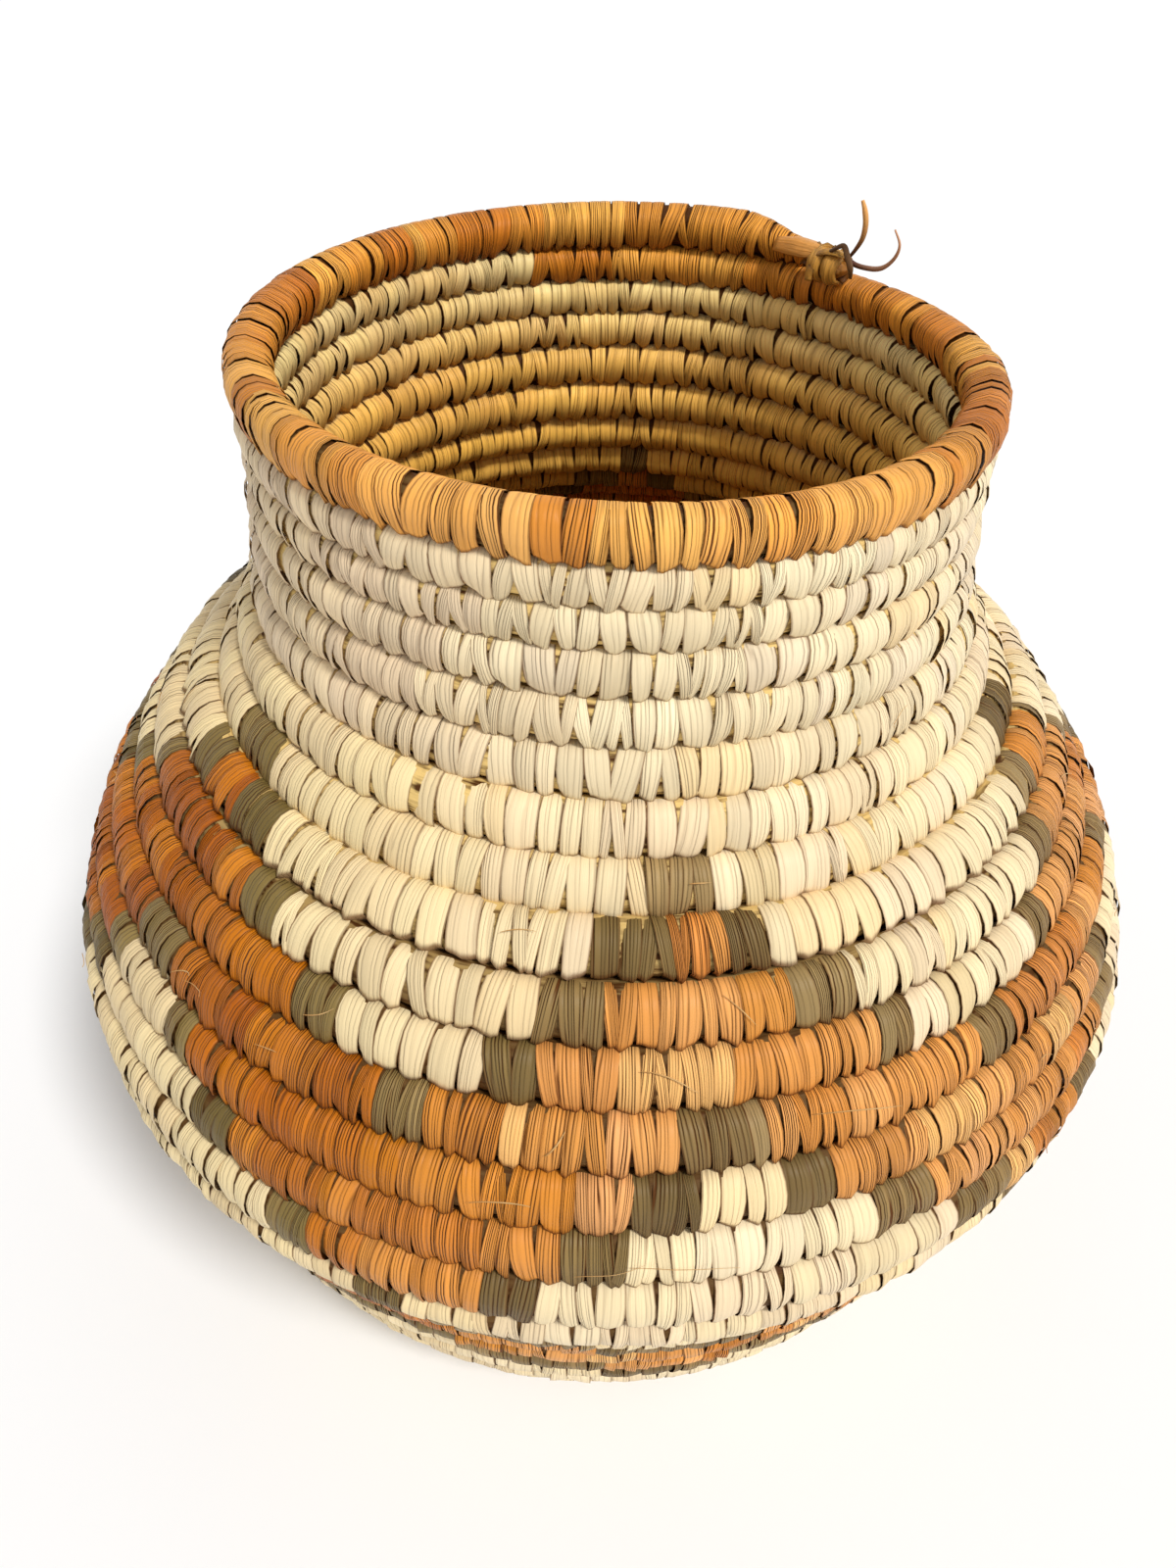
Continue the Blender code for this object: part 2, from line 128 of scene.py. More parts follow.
class NodeDesk:
    """Adds nodes to one tree, of a material or of geometry."""

    def __init__(self, tree: bpy.types.NodeTree) -> None:
        """Work on a tree.

        Args:
            tree: The node tree that the nodes go into.
        """
        self.tree = tree

    def node(self, kind: str, settings: dict | None = None, values: dict | None = None) -> bpy.types.Node:
        """Add a node: its type, then its settings, then its values and links.

        Args:
            kind: The node's type.
            settings: Properties by name.
            values: What each input takes, by identifier, name or number.

        Returns:
            The new node.
        """
        made = self.tree.nodes.new(kind)
        for name, value in (settings or {}).items():
            setattr(made, name, value)
        for key, value in (values or {}).items():
            socket = self.input_of(made, key)
            if isinstance(value, Term):
                self.tree.links.new(value.socket, socket)
            else:
                socket.default_value = value
        return made

    @staticmethod
    def input_of(node: bpy.types.Node, key: str | int) -> bpy.types.NodeSocket:
        """The input with that identifier, else with that name or number.

        Args:
            node: The node.
            key: The input's identifier, name or number.

        Returns:
            The input.
        """
        if isinstance(key, int):
            return node.inputs[key]
        found = [socket for socket in node.inputs if socket.identifier == key]
        return found[0] if found else node.inputs[key]

    def out(self, node: bpy.types.Node, key: str | int = 0) -> Term:
        """An output of a node, by identifier, name or number.

        Args:
            node: The node.
            key: The output's identifier, name or number.

        Returns:
            The output.
        """
        if isinstance(key, int):
            return Term(self, node.outputs[key])
        found = [socket for socket in node.outputs if socket.identifier == key]
        return Term(self, found[0] if found else node.outputs[key])

    def math(self, operation: str, *values: "Term | float") -> Term:
        """A Math node."""
        return self.out(self.node("ShaderNodeMath", {"operation": operation}, dict(enumerate(values))))

    def combine(self, x: "Term | float", y: "Term | float", z: "Term | float") -> Term:
        """A vector made of three numbers."""
        return self.out(self.node("ShaderNodeCombineXYZ", None, {0: x, 1: y, 2: z}))

    def separate(self, vector: Term) -> tuple[Term, Term, Term]:
        """The three numbers in a vector."""
        node = self.node("ShaderNodeSeparateXYZ", None, {0: vector})
        return self.out(node, 0), self.out(node, 1), self.out(node, 2)

    def ease(self, value: Term, low: float, high: float) -> Term:
        """Nothing below low, one above high, and a smooth change between them."""
        settings = {"interpolation_type": "SMOOTHSTEP"}
        return self.out(self.node("ShaderNodeMapRange", settings, {"Value": value, 1: low, 2: high}))

    def mix(self, share: "Term | float", a: "Term | tuple", b: "Term | tuple", blend: str = "MIX") -> Term:
        """A colour between two colours, or blended with another.

        Args:
            share: How much of the second colour there is.
            a: The first colour.
            b: The second colour.
            blend: The way that they are blended.

        Returns:
            The colour.
        """
        settings = {"data_type": "RGBA", "blend_type": blend}
        values = {"Factor_Float": share, "A_Color": a, "B_Color": b}
        return self.out(self.node("ShaderNodeMix", settings, values), "Result_Color")

    def noise(self, place: Term, scale: float, detail: float = 2.0, roughness: float = 0.5) -> Term:
        """Noise from 0 to 1 at a place."""
        values = {"Vector": place, "Scale": scale, "Detail": detail, "Roughness": roughness}
        return self.out(self.node("ShaderNodeTexNoise", None, values), "Fac")

    def grain(self, number: Term) -> Term:
        """A random value from 0 to 1 for each number."""
        node = self.node("ShaderNodeTexWhiteNoise", {"noise_dimensions": "1D"}, {"W": number})
        return self.out(node, "Value")

    def mapped(self) -> tuple[Term, Term]:
        """A place on the piece's own UV map."""
        u, v, _ = self.separate(self.out(self.node("ShaderNodeUVMap", {"uv_map": "UVMap"})))
        return u, v

    def place(self) -> Term:
        """A place in the object, which is also the row frame."""
        return self.out(self.node("ShaderNodeTexCoord"), "Object")

    def carried(self, name: str, part: str = "Fac") -> Term:
        """An attribute that the mesh carries, as a number or, with Color, as a colour."""
        return self.out(self.node("ShaderNodeAttribute", {"attribute_name": name}), part)

    def bump(self, height: Term, distance: float) -> Term:
        """The normal of a surface with this relief."""
        return self.out(self.node("ShaderNodeBump", None, {"Distance": distance, "Height": height}))

    def surface(self, colour: "Term | tuple", roughness: "Term | float", specular: float,
                normal: Term | None = None) -> None:
        """Close a material with a principled shader.

        Args:
            colour: Its base colour.
            roughness: Its roughness.
            specular: The strength of its sheen.
            normal: Its relief, if it has any.
        """
        values = {"Base Color": colour, "Roughness": roughness, "Specular IOR Level": specular}
        if normal is not None:
            values["Normal"] = normal
        shader = self.node("ShaderNodeBsdfPrincipled", None, values)
        self.node("ShaderNodeOutputMaterial", None, {"Surface": self.out(shader)})


def cleared(owner: bpy.types.Material | bpy.types.World) -> NodeDesk:
    """Clear the nodes of a material or a world and return the desk to lay new ones on."""
    owner.use_nodes = True
    owner.node_tree.nodes.clear()
    return NodeDesk(owner.node_tree)


class Palm(Enum):
    """The dyes of the palm strips."""

    CREAM = "cream"
    PALE = "pale"
    RUST = "rust"
    OLIVE = "olive"
    RIM = "rim"


@dataclass(frozen=True)
class Dye:
    """What strips of one dye look like: their colours as seen, and how they are sewn."""

    colours: tuple[Colour, ...]
    shares: tuple[float, ...]
    # deep: deeper colours given by azimuth, partly a deeper dye and partly painted shade of the sides away
    # from the light
    deep: tuple[Colour, ...]
    width: float
    spread: float
    folds: float
    pinch: float
    # How much of the painted golden shade inside the jar the strips of this dye take
    inner_gold_share: float
    forks: float


DYES = {
    Palm.CREAM: Dye(
        colours=((238, 216, 172), (234, 210, 172), (242, 221, 182), (238, 210, 160), (222, 198, 150)),
        shares=(0.40, 0.26, 0.20, 0.10, 0.04),
        deep=((236, 213, 162), (228, 203, 155)),
        width=0.0048, spread=0.34, folds=0.8, pinch=0.15, inner_gold_share=0.9, forks=0.14,
    ),
    Palm.PALE: Dye(
        colours=((236, 217, 177), (232, 212, 178), (241, 223, 183), (228, 208, 168), (236, 209, 158)),
        shares=(0.36, 0.24, 0.20, 0.12, 0.08),
        deep=((230, 206, 166), (222, 197, 162)),
        width=0.0047, spread=0.34, folds=0.9, pinch=0.18, inner_gold_share=0.9, forks=0.24,
    ),
    Palm.RUST: Dye(
        colours=((228, 160, 88), (220, 148, 72), (230, 164, 100), (208, 132, 60), (236, 180, 108)),
        shares=(0.36, 0.24, 0.18, 0.12, 0.10),
        deep=((182, 98, 4), (166, 86, 2), (198, 114, 10)),
        width=0.0039, spread=0.38, folds=1.6, pinch=0.13, inner_gold_share=0.5, forks=0.08,
    ),
    Palm.OLIVE: Dye(
        colours=((141, 114, 69), (128, 103, 61), (157, 130, 85), (113, 91, 52)),
        shares=(0.40, 0.25, 0.20, 0.15),
        deep=((122, 102, 54), (106, 88, 44), (136, 114, 64)),
        width=0.0044, spread=0.34, folds=1.5, pinch=0.13, inner_gold_share=0.4, forks=0.08,
    ),
    Palm.RIM: Dye(
        colours=((244, 174, 86), (236, 160, 70), (248, 188, 106), (222, 142, 54), (242, 180, 92)),
        shares=(0.32, 0.26, 0.16, 0.10, 0.16),
        deep=((214, 143, 54), (198, 124, 40), (228, 166, 78), (184, 107, 30)),
        width=0.0040, spread=0.38, folds=1.4, pinch=0.11, inner_gold_share=0.5, forks=0.05,
    ),
}


@dataclass(frozen=True)
class Pattern:
    """The stepped zigzag and the lower band: which dye a turn has at an azimuth.

    The rows that the photo shows are charted from it. Round the back the zigzag goes on by its rule.
    A corner is an azimuth with 0 for a peak or 1 for a valley. Angles are in degrees.
    """

    rim_end: float = 50.0
    rim_colour_start: float = 107.9
    charted_from: float = 188.0
    charted_to: float = 358.0
    pale_rows: int = 6
    corners: tuple = ((3.0, 1.0), (30.0, 0.0), (58.0, 1.0), (86.0, 0.0), (112.0, 1.0), (138.0, 0.0),
                      (183.5, 1.0), (217.0, 0.0), (247.75, 1.0), (278.5, 0.0), (307.25, 1.0), (336.0, 0.0))
    peak_row: float = 7.0
    zigzag_rows: float = 4.0
    band_rows: float = 4.0
    outline_rows: float = 0.5
    lower_row: float = 15.0
    lower_depth: float = 2.0
    lower_rows: float = 3.0
    front: float = 270.0
    # The fades, shares and depths below place the deeper colours: partly dye, partly painted shade
    rim_fade: tuple[float, float] = (30.0, 70.0)
    left_fade: tuple[float, float] = (2.0, 36.0)
    left_end: tuple[float, float] = (140.0, 200.0)
    back_fade: tuple[float, float] = (110.0, 150.0)
    back_share: float = 0.5
    rim_depth: tuple[float, float] = (0.03, 0.87)
    wall_depth: tuple[float, float] = (0.01, 0.96)
    chart: dict = field(default_factory=lambda: {
        7: "C 213.1 O 221.4 C 275.7 O 282.6 C 334.6 O 343.5 C",
        8: "C 206.8 O 213.4 R 221.5 O 227.8 C 269.2 O 275.5 R 282.4 "
           "O 287.8 C 329.0 O 334.6 R 343.2 O 345.9 C",
        9: "C 200.3 O 205.2 R 228.0 O 233.8 C 263.7 O 270.0 R 289.2 "
           "O 294.4 C 324.8 O 330.4 R 348.6 O 350.9 C",
        10: "C 192.9 O 199.2 R 239.0 O 243.9 C 260.1 O 264.2 R 298.0 O 301.3 C 319.4 O 323.4 R 354.6 O",
        11: "O 192.0 R 215.6 O 222.4 R 249.6 O 254.5 R 276.8 O 284.0 R 308.5 O 312.6 R 340.0 O 345.9 R",
        12: "R 210.7 O 215.6 C 224.1 O 228.9 R 272.8 O 277.7 C 285.4 "
            "O 291.2 R 329.5 O 334.4 C 348.3 O 351.1 R",
        13: "R 205.2 O 210.2 C 230.7 O 235.6 R 266.9 O 272.8 C 294.3 "
            "O 299.3 R 328.5 O 333.0 C 353.0 O 357.0 R",
        14: "O 204.1 C 240.6 O 245.7 R 259.9 O 264.2 C 302.9 O 308.7 R 322.2 O 326.1 C",
        15: "O 199.2 C 249.6 O 254.1 C 310.6 O 315.3 C",
    })

    def depth(self, palm: Palm, azimuth: float) -> float:
        """How much of its deeper colour a strip gets: more on the left and at the back, and on the rim away
        from the front; this is partly a deeper dye and partly painted shade of the sides away from the
        light.

        Args:
            palm: The strip's dye.
            azimuth: The compass angle in degrees.

        Returns:
            A share from 0 to 1.
        """
        # More deeper colour on the left, the back and the rim's sides: partly dye, partly painted shade
        turned = (azimuth - self.front + 180.0) % 360.0 - 180.0
        if palm is Palm.RIM:
            return self.rim_depth[0] + self.rim_depth[1] * self.faded(abs(turned), self.rim_fade)
        left = self.faded(-turned, self.left_fade) * (1.0 - self.faded(-turned, self.left_end))
        back = self.back_share * self.faded(abs(turned), self.back_fade)
        return self.wall_depth[0] + self.wall_depth[1] * max(left, back)

    @staticmethod
    def faded(angle: float, limits: tuple[float, float]) -> float:
        """Ease an angle from 0 at the first limit to 1 at the second."""
        return smooth_step((angle - limits[0]) / (limits[1] - limits[0]))

    def share_of(self, azimuth: float) -> float:
        """How far an azimuth lies from the nearest peak, from 0 on it to 1 at the valley."""
        angles, shares = zip(*self.corners)
        return float(np.interp(azimuth, angles, shares, period=360.0))

    def charted(self, row: int, azimuth: float) -> Palm:
        """The dye that the chart gives, in the rows and azimuths that it covers.

        Args:
            row: The turn, counted from the rim.
            azimuth: The compass angle in degrees.

        Returns:
            The dye.
        """
        words = self.chart[row].split()
        tone = words[0]
        for edge, after in zip(words[1::2], words[2::2]):
            if azimuth >= float(edge):
                tone = after
        return {"C": Palm.CREAM, "O": Palm.OLIVE, "R": Palm.RUST}[tone]

    def dye(self, row: int, azimuth: float) -> Palm:
        """The dye of the strips on a turn at an azimuth.

        Args:
            row: The turn, counted from the rim.
            azimuth: The compass angle in degrees.

        Returns:
            The dye.
        """
        angle = azimuth % 360.0
        if row == 0 or (row == 1 and self.rim_end <= angle < self.rim_colour_start):
            return Palm.RIM
        if row in self.chart and self.charted_from <= angle <= self.charted_to:
            return self.charted(row, angle)
        share = self.share_of(angle)
        upper = self.peak_row + self.zigzag_rows * share
        lower = upper + self.band_rows
        top = self.lower_row + self.lower_depth * (1.0 - share)
        bottom = top + self.lower_rows
        if min(abs(row - upper), abs(row - lower)) < self.outline_rows:
            return Palm.OLIVE
        if upper < row < lower:
            return Palm.RUST
        if row > lower and min(abs(row - top), abs(row - bottom)) < self.outline_rows:
            return Palm.OLIVE
        if row > lower and top < row < bottom:
            return Palm.RUST
        return Palm.PALE if row < self.pale_rows else Palm.CREAM


@dataclass
class CoilPath:
    """The line that the coil's middle follows in its spiral from the rim to the base's middle."""

    jar_height: float = 0.2802
    belly: float = 0.1455
    turns: int = 33
    thickness: float = 0.0123
    rim_height: float = 0.0103
    rim_tip: float = 0.0052
    rim_end: float = 50.0
    swell_angle: float = 80.0
    taper_angle: float = 16.0
    stations: int = 72
    changes: tuple = (
        (0.0, 0.747), (2.5, 0.714), (4.0, 0.887), (6.0, 0.995), (8.0, 1.040),
        (11.0, 1.064), (14.0, 1.077), (17.0, 1.065), (21.0, 1.044),
    )
    knots: tuple = (
        (0.5684, 0.7948, 9.0), (0.6082, 0.7455, 23.4), (0.7024, 0.6842, 59.4), (0.8674, 0.5849, 39.0),
        (0.9601, 0.4996, 20.6), (1.0, 0.4094, -7.0), (0.9450, 0.3194, -13.0), (0.8522, 0.1217, -14.0),
    )
    rim_share: float = 0.5526
    rim_lean: float = 2.2
    base_share: float = 0.6570
    span_steps: int = 48
    way_step: float = 0.001
    least_radius: float = 0.0015

    def __post_init__(self) -> None:
        """Lay the outline, measure it, and share it out among the turns."""
        rim = (self.rim_share * self.belly, self.jar_height - self.rim_height / 2, self.rim_lean)
        base = (self.base_share * self.belly, self.thickness / 2, -90.0)
        inner = [(r * self.belly, z * self.jar_height, lean) for r, z, lean in self.knots]
        knots = [rim, *inner, base]
        points = [p for upper, lower in zip(knots[:-1], knots[1:]) for p in self.span(upper, lower)]
        points += [np.array(base[:2]), np.array((0.0, base[1]))]
        self.points = np.array(points)
        steps = np.linalg.norm(np.diff(self.points, axis=0), axis=1)
        self.distances = np.concatenate(([0.0], np.cumsum(steps)))
        self.length = float(self.distances[-1])
        self.marks = [turn for turn, _ in self.changes]
        shares = np.array([share for _, share in self.changes])
        spans = np.concatenate(([0.0], np.cumsum((shares[:-1] + shares[1:]) / 2 * np.diff(self.marks))))
        self.base_pitch = self.length / (float(spans[-1]) + self.turns - self.marks[-1])
        self.sizes = shares * self.base_pitch
        self.reaches = spans * self.base_pitch

    def span(self, upper: tuple, lower: tuple) -> list[np.ndarray]:
        """Points of one smooth span between two knots that keep their leans.

        Args:
            upper: The upper knot's radius, height and lean.
            lower: The lower knot's.

        Returns:
            The points from the upper knot on, without the lower one.
        """
        start, end = np.array(upper[:2]), np.array(lower[:2])
        reach = np.linalg.norm(end - start)
        leave, arrive = math.radians(upper[2]), math.radians(lower[2])
        pull_out = np.array((math.sin(leave), -math.cos(leave))) * reach
        pull_in = np.array((math.sin(arrive), -math.cos(arrive))) * reach
        points = []
        for step in range(self.span_steps):
            s = step / self.span_steps
            place = start * (2 * s**3 - 3 * s**2 + 1) + end * (3 * s**2 - 2 * s**3)
            points.append(place + pull_out * (s**3 - 2 * s**2 + s) + pull_in * (s**3 - s**2))
        return points

    def outline(self, distance: float) -> np.ndarray:
        """Radius and height at a distance along the outline, carried on straight past its ends.

        Args:
            distance: How far it is from the outline's upper end.

        Returns:
            The radius and the height.
        """
        index = int(np.clip(np.searchsorted(self.distances, distance) - 1, 0, len(self.points) - 2))
        start, end = self.distances[index], self.distances[index + 1]
        share = (distance - start) / (end - start)
        return self.points[index] * (1 - share) + self.points[index + 1] * share

    def pitch_at(self, turn: float) -> float:
        """The distance along the wall from a turn to the next."""
        if turn >= self.marks[-1]:
            return self.base_pitch
        return float(np.interp(turn, self.marks, self.sizes))

    def reach(self, turn: float) -> float:
        """The distance along the outline from the rim's end down to a turn.

        Args:
            turn: The place along the coil.

        Returns:
            The distance, negative above the rim's end.
        """
        if turn >= self.marks[-1]:
            return self.reaches[-1] + (turn - self.marks[-1]) * self.base_pitch
        if turn <= 0.0:
            return turn * self.pitch_at(turn)
        index = max(i for i, mark in enumerate(self.marks) if mark <= turn)
        start = self.marks[index]
        return self.reaches[index] + (self.pitch_at(start) + self.pitch_at(turn)) / 2 * (turn - start)

    def height(self, turn: float) -> float:
        """The coil's thickness along the wall: swollen in the rim and thin at the rim's tip.

        Args:
            turn: The place along the coil.

        Returns:
            The thickness.
        """
        pitch = self.pitch_at(turn)
        swell = smooth_step((1.0 - turn) * 360.0 / self.swell_angle)
        height = pitch + (self.rim_height - pitch) * swell
        taper = smooth_step(turn * 360.0 / self.taper_angle)
        return self.rim_tip + (height - self.rim_tip) * taper if turn < 1.0 else height

    def girth(self, turn: float) -> float:
        """The coil's thickness across the wall."""
        return self.thickness / self.base_pitch * self.height(turn)

    def middle(self, turn: float) -> np.ndarray:
        """Radius and height of the coil's middle."""
        drop = (self.pitch_at(turn) - self.height(turn)) / 2 if turn < 1.0 else 0.0
        return self.outline(self.reach(turn) + drop)

    def downward(self, turn: float) -> np.ndarray:
        """Unit direction down the wall, in radius and height."""
        place = self.reach(turn)
        way = self.outline(place + self.way_step) - self.outline(place - self.way_step)
        return way / np.linalg.norm(way)

    def azimuth(self, turn: float) -> float:
        """The compass angle of a place on the coil, in degrees."""
        return self.rim_end + 360.0 * turn

    def radius(self, turn: float) -> float:
        """The coil's distance from the axis, never quite nothing."""
        return max(float(self.middle(turn)[0]), self.least_radius)

    def point(self, turn: float, out: float = 0.0, down: float = 0.0) -> Vector:
        """A point in the frame, out from the coil's middle and down the wall from it.

        Args:
            turn: The place along the coil.
            out: How far it lies out of the wall, in metres.
            down: How far it lies down the wall, in metres.

        Returns:
            The point in the row frame.
        """
        (r, z), (tx, tz) = self.middle(turn), self.downward(turn)
        r, z = r + down * tx - out * tz, z + down * tz + out * tx
        angle = math.radians(self.azimuth(turn))
        return Vector((r * math.cos(angle), r * math.sin(angle), z))

    def guide(self) -> bpy.types.Object:
        """A line of vertices, at radius and height, that the stitch tree samples.

        Returns:
            The guide object, which is deleted once the wrapping is built.
        """
        count = self.turns * self.stations + 1
        turns = [i / self.stations for i in range(count)]
        mesh = bpy.data.meshes.new("guide")
        mesh.from_pydata([(*self.middle(t)[:1], 0.0, self.middle(t)[1]) for t in turns], [], [])
        attribute = mesh.attributes.new("way", "FLOAT_VECTOR", "POINT")
        for slot, t in zip(attribute.data, turns):
            down = self.downward(t)
            slot.vector = (down[0], down[1], self.height(t))
        return placed("guide", mesh)


@dataclass(frozen=True)
class StitchShape:
    """What shapes every stitch: sizes in metres, and shares of half its height or width.

    The starts are where a change sets in between its middle and its foot or head. A jump turns a
    stitch's seed into another random number.
    """

    around: int = 16
    along: int = 4
    bite: float = 0.0017
    crown: float = 0.00014
    ripple: float = 0.00022
    body_power: float = 0.86
    hem_power: float = 0.46
    floor: float = 0.0002
    hole: float = 0.0004
    point: float = 0.70
    ragged: float = 1.2
    inner_height: float = 0.86
    inner_edge: tuple[float, float] = (0.05, -0.45)
    top_pinch: float = 0.8
    hem_start: float = 0.42
    taper_start: float = 0.3
    head_start: float = 0.1
    crown_round: float = 0.35
    crown_drop: float = 0.6
    ripples: float = 150.0
    teeth: float = 2.7
    tip_spread: float = 1.3
    head_jump: float = 11.7
    tip_jump: float = 7.3
    noise_jump: float = 31.0


class StitchTree:
    """The Geometry Nodes tree that bends one small tube of strip round the coil for each stitch."""

    def __init__(self, shape: StitchShape, path: CoilPath, guide: bpy.types.Object,
                 material: bpy.types.Material) -> None:
        """Build the tree and keep what its inputs are set to.

        Args:
            shape: The stitch sizes.
            path: The coil, for its end's azimuth and its thickness.
            guide: The line of vertices to sample.
            material: What the strips are made of.
        """
        self.tree = bpy.data.node_groups.new("stitches", "GeometryNodeTree")
        self.desk, self.shape = NodeDesk(self.tree), shape
        self.values = {
            "Guide": guide, "Material": material, "Stations": path.stations,
            "End Azimuth": math.radians(path.rim_end), "Girth Share": path.thickness / path.base_pitch,
        }
        for name in ("Around", "Along", "Bite", "Crown", "Ripple", "Body Power", "Hem Power", "Floor",
                     "Hole", "Point", "Ragged", "Inner Height", "Top Pinch"):
            self.values[name] = getattr(shape, name.lower().replace(" ", "_"))
        self.sockets = {}
        self.add_inputs()
        self.build()

    def add_inputs(self) -> None:
        face = self.tree.interface
        face.new_socket("Geometry", in_out="INPUT", socket_type="NodeSocketGeometry")
        kinds = {"Guide": "NodeSocketObject", "Material": "NodeSocketMaterial",
                 "Around": "NodeSocketInt", "Along": "NodeSocketInt"}
        for name in self.values:
            socket = face.new_socket(name, in_out="INPUT", socket_type=kinds.get(name, "NodeSocketFloat"))
            self.sockets[name] = socket.identifier
        face.new_socket("Geometry", in_out="OUTPUT", socket_type="NodeSocketGeometry")

    def named(self, name: str, kind: str = "FLOAT") -> Term:
        """An attribute that the stitches carry."""
        node = self.desk.node("GeometryNodeInputNamedAttribute", {"data_type": kind}, {"Name": name})
        return self.desk.out(node, "Attribute")

    def sample(self, line: Term, value: Term, index: Term) -> Term:
        """A vector value of the guide at a vertex."""
        settings = {"data_type": "FLOAT_VECTOR", "domain": "POINT", "clamp": True}
        values = {"Geometry": line, "Value": value, "Index": index}
        return self.desk.out(self.desk.node("GeometryNodeSampleIndex", settings, values))

    def sampled(self, line: Term, value: Term, place: Term) -> Term:
        """A vector value of the guide between two of its vertices.

        Args:
            line: The guide's geometry.
            value: The value to sample.
            place: The place along the guide, in vertices.

        Returns:
            The value there.
        """
        desk = self.desk
        first = desk.math("FLOOR", place)
        low, high = self.sample(line, value, first), self.sample(line, value, first + 1.0)
        values = {"Factor_Float": place - first, "A_Vector": low, "B_Vector": high}
        return desk.out(desk.node("ShaderNodeMix", {"data_type": "VECTOR"}, values), "Result_Vector")

    def signed_power(self, value: Term, power: Term) -> Term:
        """A power of a number's size, with the number's sign."""
        size = self.desk.math("ABSOLUTE", value)
        return self.desk.math("SIGN", value) * size ** power

    def build(self) -> None:
        """Lay out the nodes, from the tube and the points to the bent strips."""
        desk = self.desk
        given = desk.node("NodeGroupInput")
        take = {name: desk.out(given, name) for name in ["Geometry", *self.values]}
        bent = desk.node("GeometryNodeSetPosition", None,
                         {"Geometry": self.tubes(take), "Position": self.bent(take)})
        smooth = desk.node("GeometryNodeSetShadeSmooth", None, {"Geometry": desk.out(bent)})
        dressed = desk.node("GeometryNodeSetMaterial", None,
                            {"Geometry": desk.out(smooth), "Material": take["Material"]})
        desk.node("NodeGroupOutput", None, {0: desk.out(dressed)})

    def tubes(self, take: dict[str, Term]) -> Term:
        """One small open tube, with its map, at every stitch point.

        Args:
            take: The tree's inputs by name.

        Returns:
            The tubes as real geometry.
        """
        desk = self.desk
        tube = desk.node("GeometryNodeMeshCylinder", {"fill_type": "NONE"},
                         {"Vertices": take["Around"], "Side Segments": take["Along"],
                          "Radius": 1.0, "Depth": 2.0})
        mapped = desk.node("GeometryNodeStoreNamedAttribute", {"data_type": "FLOAT2", "domain": "CORNER"},
                           {"Geometry": desk.out(tube, "Mesh"), "Name": "UVMap",
                            "Value": desk.out(tube, "UV Map")})
        laid = desk.node("GeometryNodeInstanceOnPoints", None,
                         {"Points": take["Geometry"], "Instance": desk.out(mapped)})
        return desk.out(desk.node("GeometryNodeRealizeInstances", None, {"Geometry": desk.out(laid)}))

    def bent(self, take: dict[str, Term]) -> Term:
        """Where a vertex of a tube comes to lie on the coil.

        The tube's x runs down the wall, its y inwards, and its z across the strip.

        Args:
            take: The tree's inputs by name.

        Returns:
            The position.
        """
        desk, shape, seed = self.desk, self.shape, self.named("seed")
        x, y, across = desk.separate(desk.out(desk.node("GeometryNodeInputPosition")))
        top, outward = -x, -y
        low = desk.ease(x, shape.hem_start, 1.0)
        foot = desk.math("MAXIMUM", (x + shape.taper_start) / (1.0 + shape.taper_start), 0.0)
        head = desk.math("MAXIMUM", (top + shape.head_start) / (1.0 + shape.head_start), 0.0)
        head = head * desk.math("FRACT", seed * shape.head_jump)
        width = across * (1.0 - self.named("pinch") * (foot + head * take["Top Pinch"]))
        turn = self.named("turn") + self.named("half") * width + self.named("lean") * x
        line = desk.out(desk.node("GeometryNodeObjectInfo", None, {"Object": take["Guide"]}), "Geometry")
        index = turn * take["Stations"]
        middle = self.sampled(line, desk.out(desk.node("GeometryNodeInputPosition")), index)
        radius, _, level = desk.separate(middle)
        way_out, way_up, height = desk.separate(self.sampled(line, self.named("way", "FLOAT_VECTOR"), index))
        bend = across * across
        crown = take["Crown"] * (shape.crown_round * bend + (1.0 - shape.crown_round) * bend * bend)
        spot = desk.combine(turn * shape.ripples + seed * shape.noise_jump, x * 0.9, y * 0.9)
        ripple = (desk.noise(spot, 2.2, 1.0) - 0.5) * take["Ripple"] * 2.0
        half_girth = take["Girth Share"] * height * 0.5 + self.named("lift") - crown + ripple
        half_girth = half_girth + across * self.named("tilt")
        power = take["Body Power"] + (take["Hem Power"] - take["Body Power"]) * low
        out = self.signed_power(outward, power) * half_girth
        shrink = 1.0 + (take["Inner Height"] - 1.0) * desk.ease(outward, *shape.inner_edge)
        half_height = height * 0.5 * shrink - crown * shape.crown_drop
        down = -(self.signed_power(top, take["Body Power"]) * half_height)
        tip_place = (desk.math("FRACT", seed * shape.tip_jump) - 0.5) * shape.tip_spread
        tip = 1.0 - take["Point"] * desk.math("ABSOLUTE", across - tip_place)
        ragged = desk.noise(desk.combine(across * shape.teeth, seed * shape.noise_jump, 3.0), 1.0, 1.0) - 0.5
        down = down + take["Bite"] * low * (tip * (0.7 + 0.6 * seed) + ragged * take["Ragged"])
        ring = desk.math("MAXIMUM", radius + down * way_out - out * way_up, take["Hole"])
        rise = desk.math("MAXIMUM", level + down * way_up + out * way_out, take["Floor"])
        azimuth = take["End Azimuth"] + turn * (2.0 * math.pi)
        return desk.combine(desk.math("COSINE", azimuth) * ring, desk.math("SINE", azimuth) * ring, rise)

